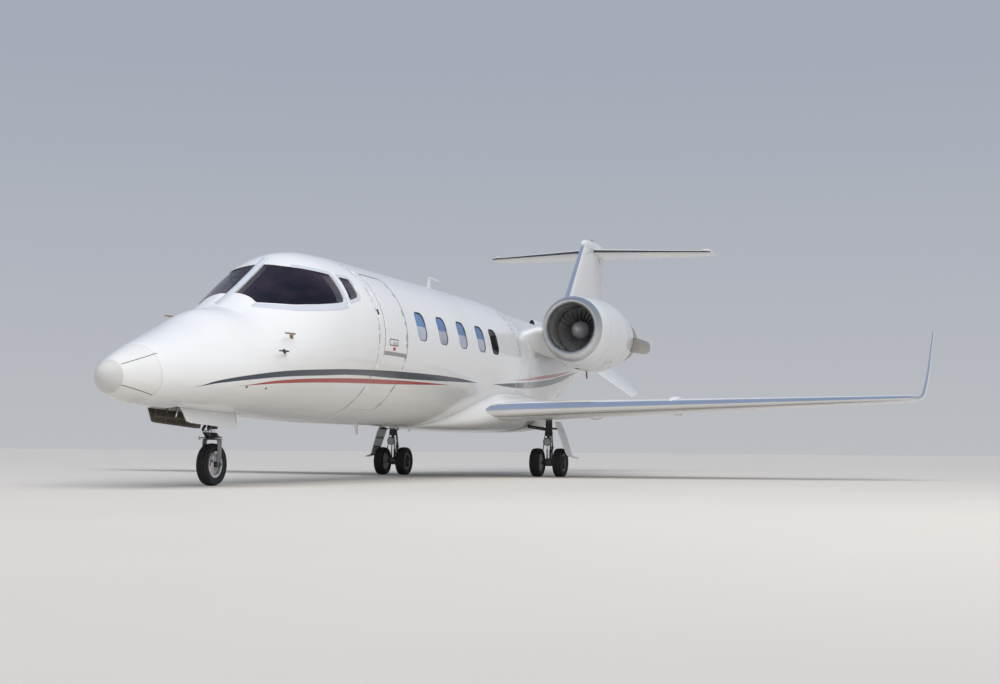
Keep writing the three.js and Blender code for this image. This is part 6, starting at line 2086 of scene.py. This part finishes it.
def build_nose_details():
    strips = []
    for a, b in RADOME_STRIPS:
        path = []
        for k in range(12):
            s, z = (lerp(p, q, k / 11) for p, q in zip(a, b))
            path.append((s, z))
        strip = skin_strip(path, 0.006, 0.0018)
        strips += [strip, mirrored(strip)]
    piece("radome_strips", [(merged(*strips), DARK_METAL)], "airframe", crease=40)
    upper = probe(2.34, 1.556, 0.20, 0.010, 0.0)
    lower = probe(2.16, 1.392, 0.18, 0.009, 0.02)
    high = probe(2.06, 1.715, 0.14, 0.009, -0.01)
    parts = [(merged(upper, mirrored(upper), mirrored(high)), BRASS),
             (merged(lower, mirrored(lower)), DARK_METAL)]
    piece("air_data_probes", parts, "airframe", crease=45)


def plate(station, z, wide, tall, thick):
    """A thin plate with rounded corners on the hull's port side."""
    s0, s1, z0, z1 = station - wide / 2, station + wide / 2, z - tall / 2, z + tall / 2
    outline = rounded([(s0, z0), (s1, z0), (s1, z1), (s0, z1)], min(wide, tall) * 0.3, 5)
    return loft([[at(hull_side(s, v) + d, s, v) for s, v in outline] for d in (-0.006, thick)])


def build_door_details():
    parts = [(plate(4.50, 1.640, 0.26, 0.078, 0.0015), DARK_METAL),
             (plate(4.50, 1.640, 0.236, 0.058, 0.0025), PLAIN_WHITE),
             (plate(4.53, 1.634, 0.15, 0.020, 0.012), POLISHED),
             (plate(4.52, 1.566, 0.075, 0.036, 0.003), RED_PLASTIC)]
    piece("door_handle", parts, "door_upper", crease=40)
    latches = []
    for s, z, wide, tall in ((4.13, 1.97, 0.05, 0.065), (1.62, 1.00, 0.03, 0.018), (1.95, 1.00, 0.03, 0.018)):
        latch = plate(s, z, wide, tall, 0.001)
        latches += [latch, mirrored(latch)]
    piece("latches", [(merged(*latches), DARK_METAL)], "airframe", crease=40)

    front, back, head = DOOR[0] - DOOR_LINE, DOOR[1] + DOOR_LINE, DOOR_TOP + DOOR_LINE
    loop = rounded([(front, 0.8), (back, 0.8), (back, head), (front, head)], DOOR_CORNER + DOOR_LINE, 8)
    upper = [p for p in loop if p[1] > 1]
    start, end = upper[0], upper[-1]
    path = filled([(start[0], DOOR_SPLIT - 0.02), start], 24)[:-1] + filled(upper, 8)
    path += filled([end, (end[0], DOOR_SPLIT - 0.02)], 24)[1:]
    piece("door_frame_line", [(skin_strip(path, 0.016, 0.0012), SEAM_GREY)], "airframe", crease=40)
    foot = filled([(DOOR[0] + 0.002, DOOR_SPLIT + 0.022), (DOOR[1] - 0.002, DOOR_SPLIT + 0.022)], 10)
    piece("door_foot_line", [(skin_strip(foot, 0.036, 0.0015), SEAM_GREY)], "door_upper", crease=40)


def build_antennas():
    def on_spine(station, chord, height, lean):
        return blade(station, chord, hull_crown(station, 0) - 0.01, height, lean, 9)

    root = at(0, 8.02, hull_crown(8.02, 0) + 0.188)
    path = [root + Vector((0, y, z)) for y, z in ((0, 0), (0.10, 0.002), (0.30, -0.006), (0.42, -0.012))]
    arm = tube(path, [0.012, 0.012, 0.010, 0.006], 12)
    parts = [(merged(on_spine(7.94, 0.17, 0.19, 0.22), arm), PLAIN_WHITE),
             (on_spine(10.05, 0.07, 0.05, 0.4), DARK_METAL)]
    piece("spine_antennas", parts, "airframe", crease=45)
    dome = lathe([(0.0, 0.034), (0.05, 0.030), (0.085, 0.016), (0.10, 0.0), (0.10, -0.02), (0.0, -0.02)],
                 at(0, 6.35, hull_crown(6.35, 0) - 0.002), UP, 40)
    piece("spine_dome", [(dome, PLAIN_WHITE)], "airframe", crease=40)
    lamp = lathe([(0.0, 0.030), (0.012, 0.027), (0.020, 0.015), (0.022, 0.0), (0.022, -0.02), (0.0, -0.02)],
                 at(0, 16.55, BULLET_Z + 0.132), UP, 28)
    piece("tail_lamp", [(lamp, RED_LENS)], "airframe", crease=40)
    hanging = [blade(5.55, 0.12, 0.70, -0.13, 0.5, 7), blade(7.30, 0.10, 0.70, -0.07, 0.5, 7)]
    piece("belly_antennas", [(merged(*hanging), PLAIN_WHITE)], "airframe", crease=45)


def pod_plate(station, angle, along, around, thick=0.002):
    """An oval plate on the skin of an engine pod."""
    rings = []
    for lift in (-0.006, thick):
        ring = []
        for a in turns(28):
            s = station + along * math.cos(a)
            r = cowl_radius(s) + lift
            ring.append(pod_point(s, r, math.radians(angle) + around / r * math.sin(a)))
        rings.append(ring)
    return loft(rings)


def pod_hoop(station, radius, width, thick, outside=True):
    """A thin band round the pod's skin, or round the inside of its duct."""
    path = [pod_point(station, radius, a, outside) for a in turns(96)]
    middle = sum(path, Vector()) / len(path)
    normals = [(p - middle if outside else middle - p).normalized() for p in path]
    return ribbon(path, normals, width, thick, True)


def pod_details(hand, turn):
    vent = pod_plate(10.98, -92, 0.050, 0.034)
    small = [pod_plate(s, angle, 0.020, 0.012) for s, angle in ((11.35, -52), (11.62, -48), (11.9, -60))]
    seams = [pod_hoop(s, cowl_radius(s), 0.006, 0.0006) for s in (11.0, 12.2)]
    under = math.radians(-90)
    drain = bar(pod_point(DRAIN, cowl_radius(DRAIN) - 0.02, under),
                pod_point(DRAIN, cowl_radius(DRAIN) + 0.085, under) + AFT * 0.03, 0.012, 16)
    parts = [(vent, DARK_METAL), (merged(*small), DARK_METAL), (merged(*seams), SEAM_GREY),
             (drain, RED_PLASTIC)]
    piece(f"pod_fittings_{hand}", [(turn(shape), look) for shape, look in parts], "airframe", crease=40)
    band = pod_hoop(DUCT_BAND, duct_radius(DUCT_BAND), 0.035, 0.002, False)
    piece(f"duct_band_{hand}", [(turn(band), LEG_PAINT)], "airframe", crease=40)


def wing_details(hand, turn):
    def wing_top(x, share, lift=0.0):
        front, chord, z, depth = wing_measures(x)
        return at(x, front + share * chord, z + half_depth(share) * depth * chord + lift)

    cap = lathe([(0.0, 0.006), (0.036, 0.005), (0.043, 0.001), (0.043, -0.006), (0.0, -0.006)],
                wing_top(4.9, 0.34), (0.02, 0.01, 1), 40)
    blister = []
    for k in range(17):
        t = k / 16
        size = math.sin(math.pi * min(0.02 + t * 0.96, 1)) ** 0.6
        spot = wing_top(3.22, lerp(0.03, 0.42, t), -0.012)
        blister.append([spot + Vector((0.085 * size * math.cos(a), 0, 0.052 * size * math.sin(a)))
                        for a in turns(24)])
    wicks = []
    for x in WICKS:
        front, chord, z, _ = wing_measures(x)
        root = at(x, front + chord, z)
        path = [root - AFT * 0.03, root + AFT * 0.04, root + Vector((0, 0.13, -0.004))]
        wicks.append(tube(path, [0.004, 0.003, 0.0018], 8))
    covers = []
    for x in TRACK_COVERS:
        front, chord, z, depth = wing_measures(x)
        rings = []
        for k in range(15):
            t = k / 14
            share = lerp(0.46, 0.735, t)
            under = z - half_depth(share) * depth * chord + 0.006
            size = math.sin(math.pi * min(t * 0.62 + 0.04, 1)) ** 0.7
            rings.append([at(x + 0.028 * size * math.cos(a), front + share * chord,
                             under - 0.055 * size * max(math.sin(a), -0.2)) for a in turns(20)])
        covers.append(loft(rings))
    parts = [(cap, LEG_PAINT), (loft(blister), PLAIN_WHITE), (merged(*wicks), BLACK_RUBBER_AND_SHADE),
             (merged(*covers), PLAIN_WHITE)]
    piece(f"wing_fittings_{hand}", [(turn(shape), look) for shape, look in parts], "airframe", crease=40)


def main():
    build_camera()
    build_stage()
    screen, side = build_hull()
    build_glass(screen, side)
    build_window_trim()
    build_pods()
    build_fans()
    build_cores()
    build_pylons()
    build_wings()
    build_fairing()
    build_tailplane()
    build_fin()
    build_spine_and_tail_cone()
    build_main_gear()
    build_nose_gear()
    build_cabin()
    build_nose_details()
    build_door_details()
    build_antennas()
    both_sides(pod_details)
    both_sides(wing_details)


main()
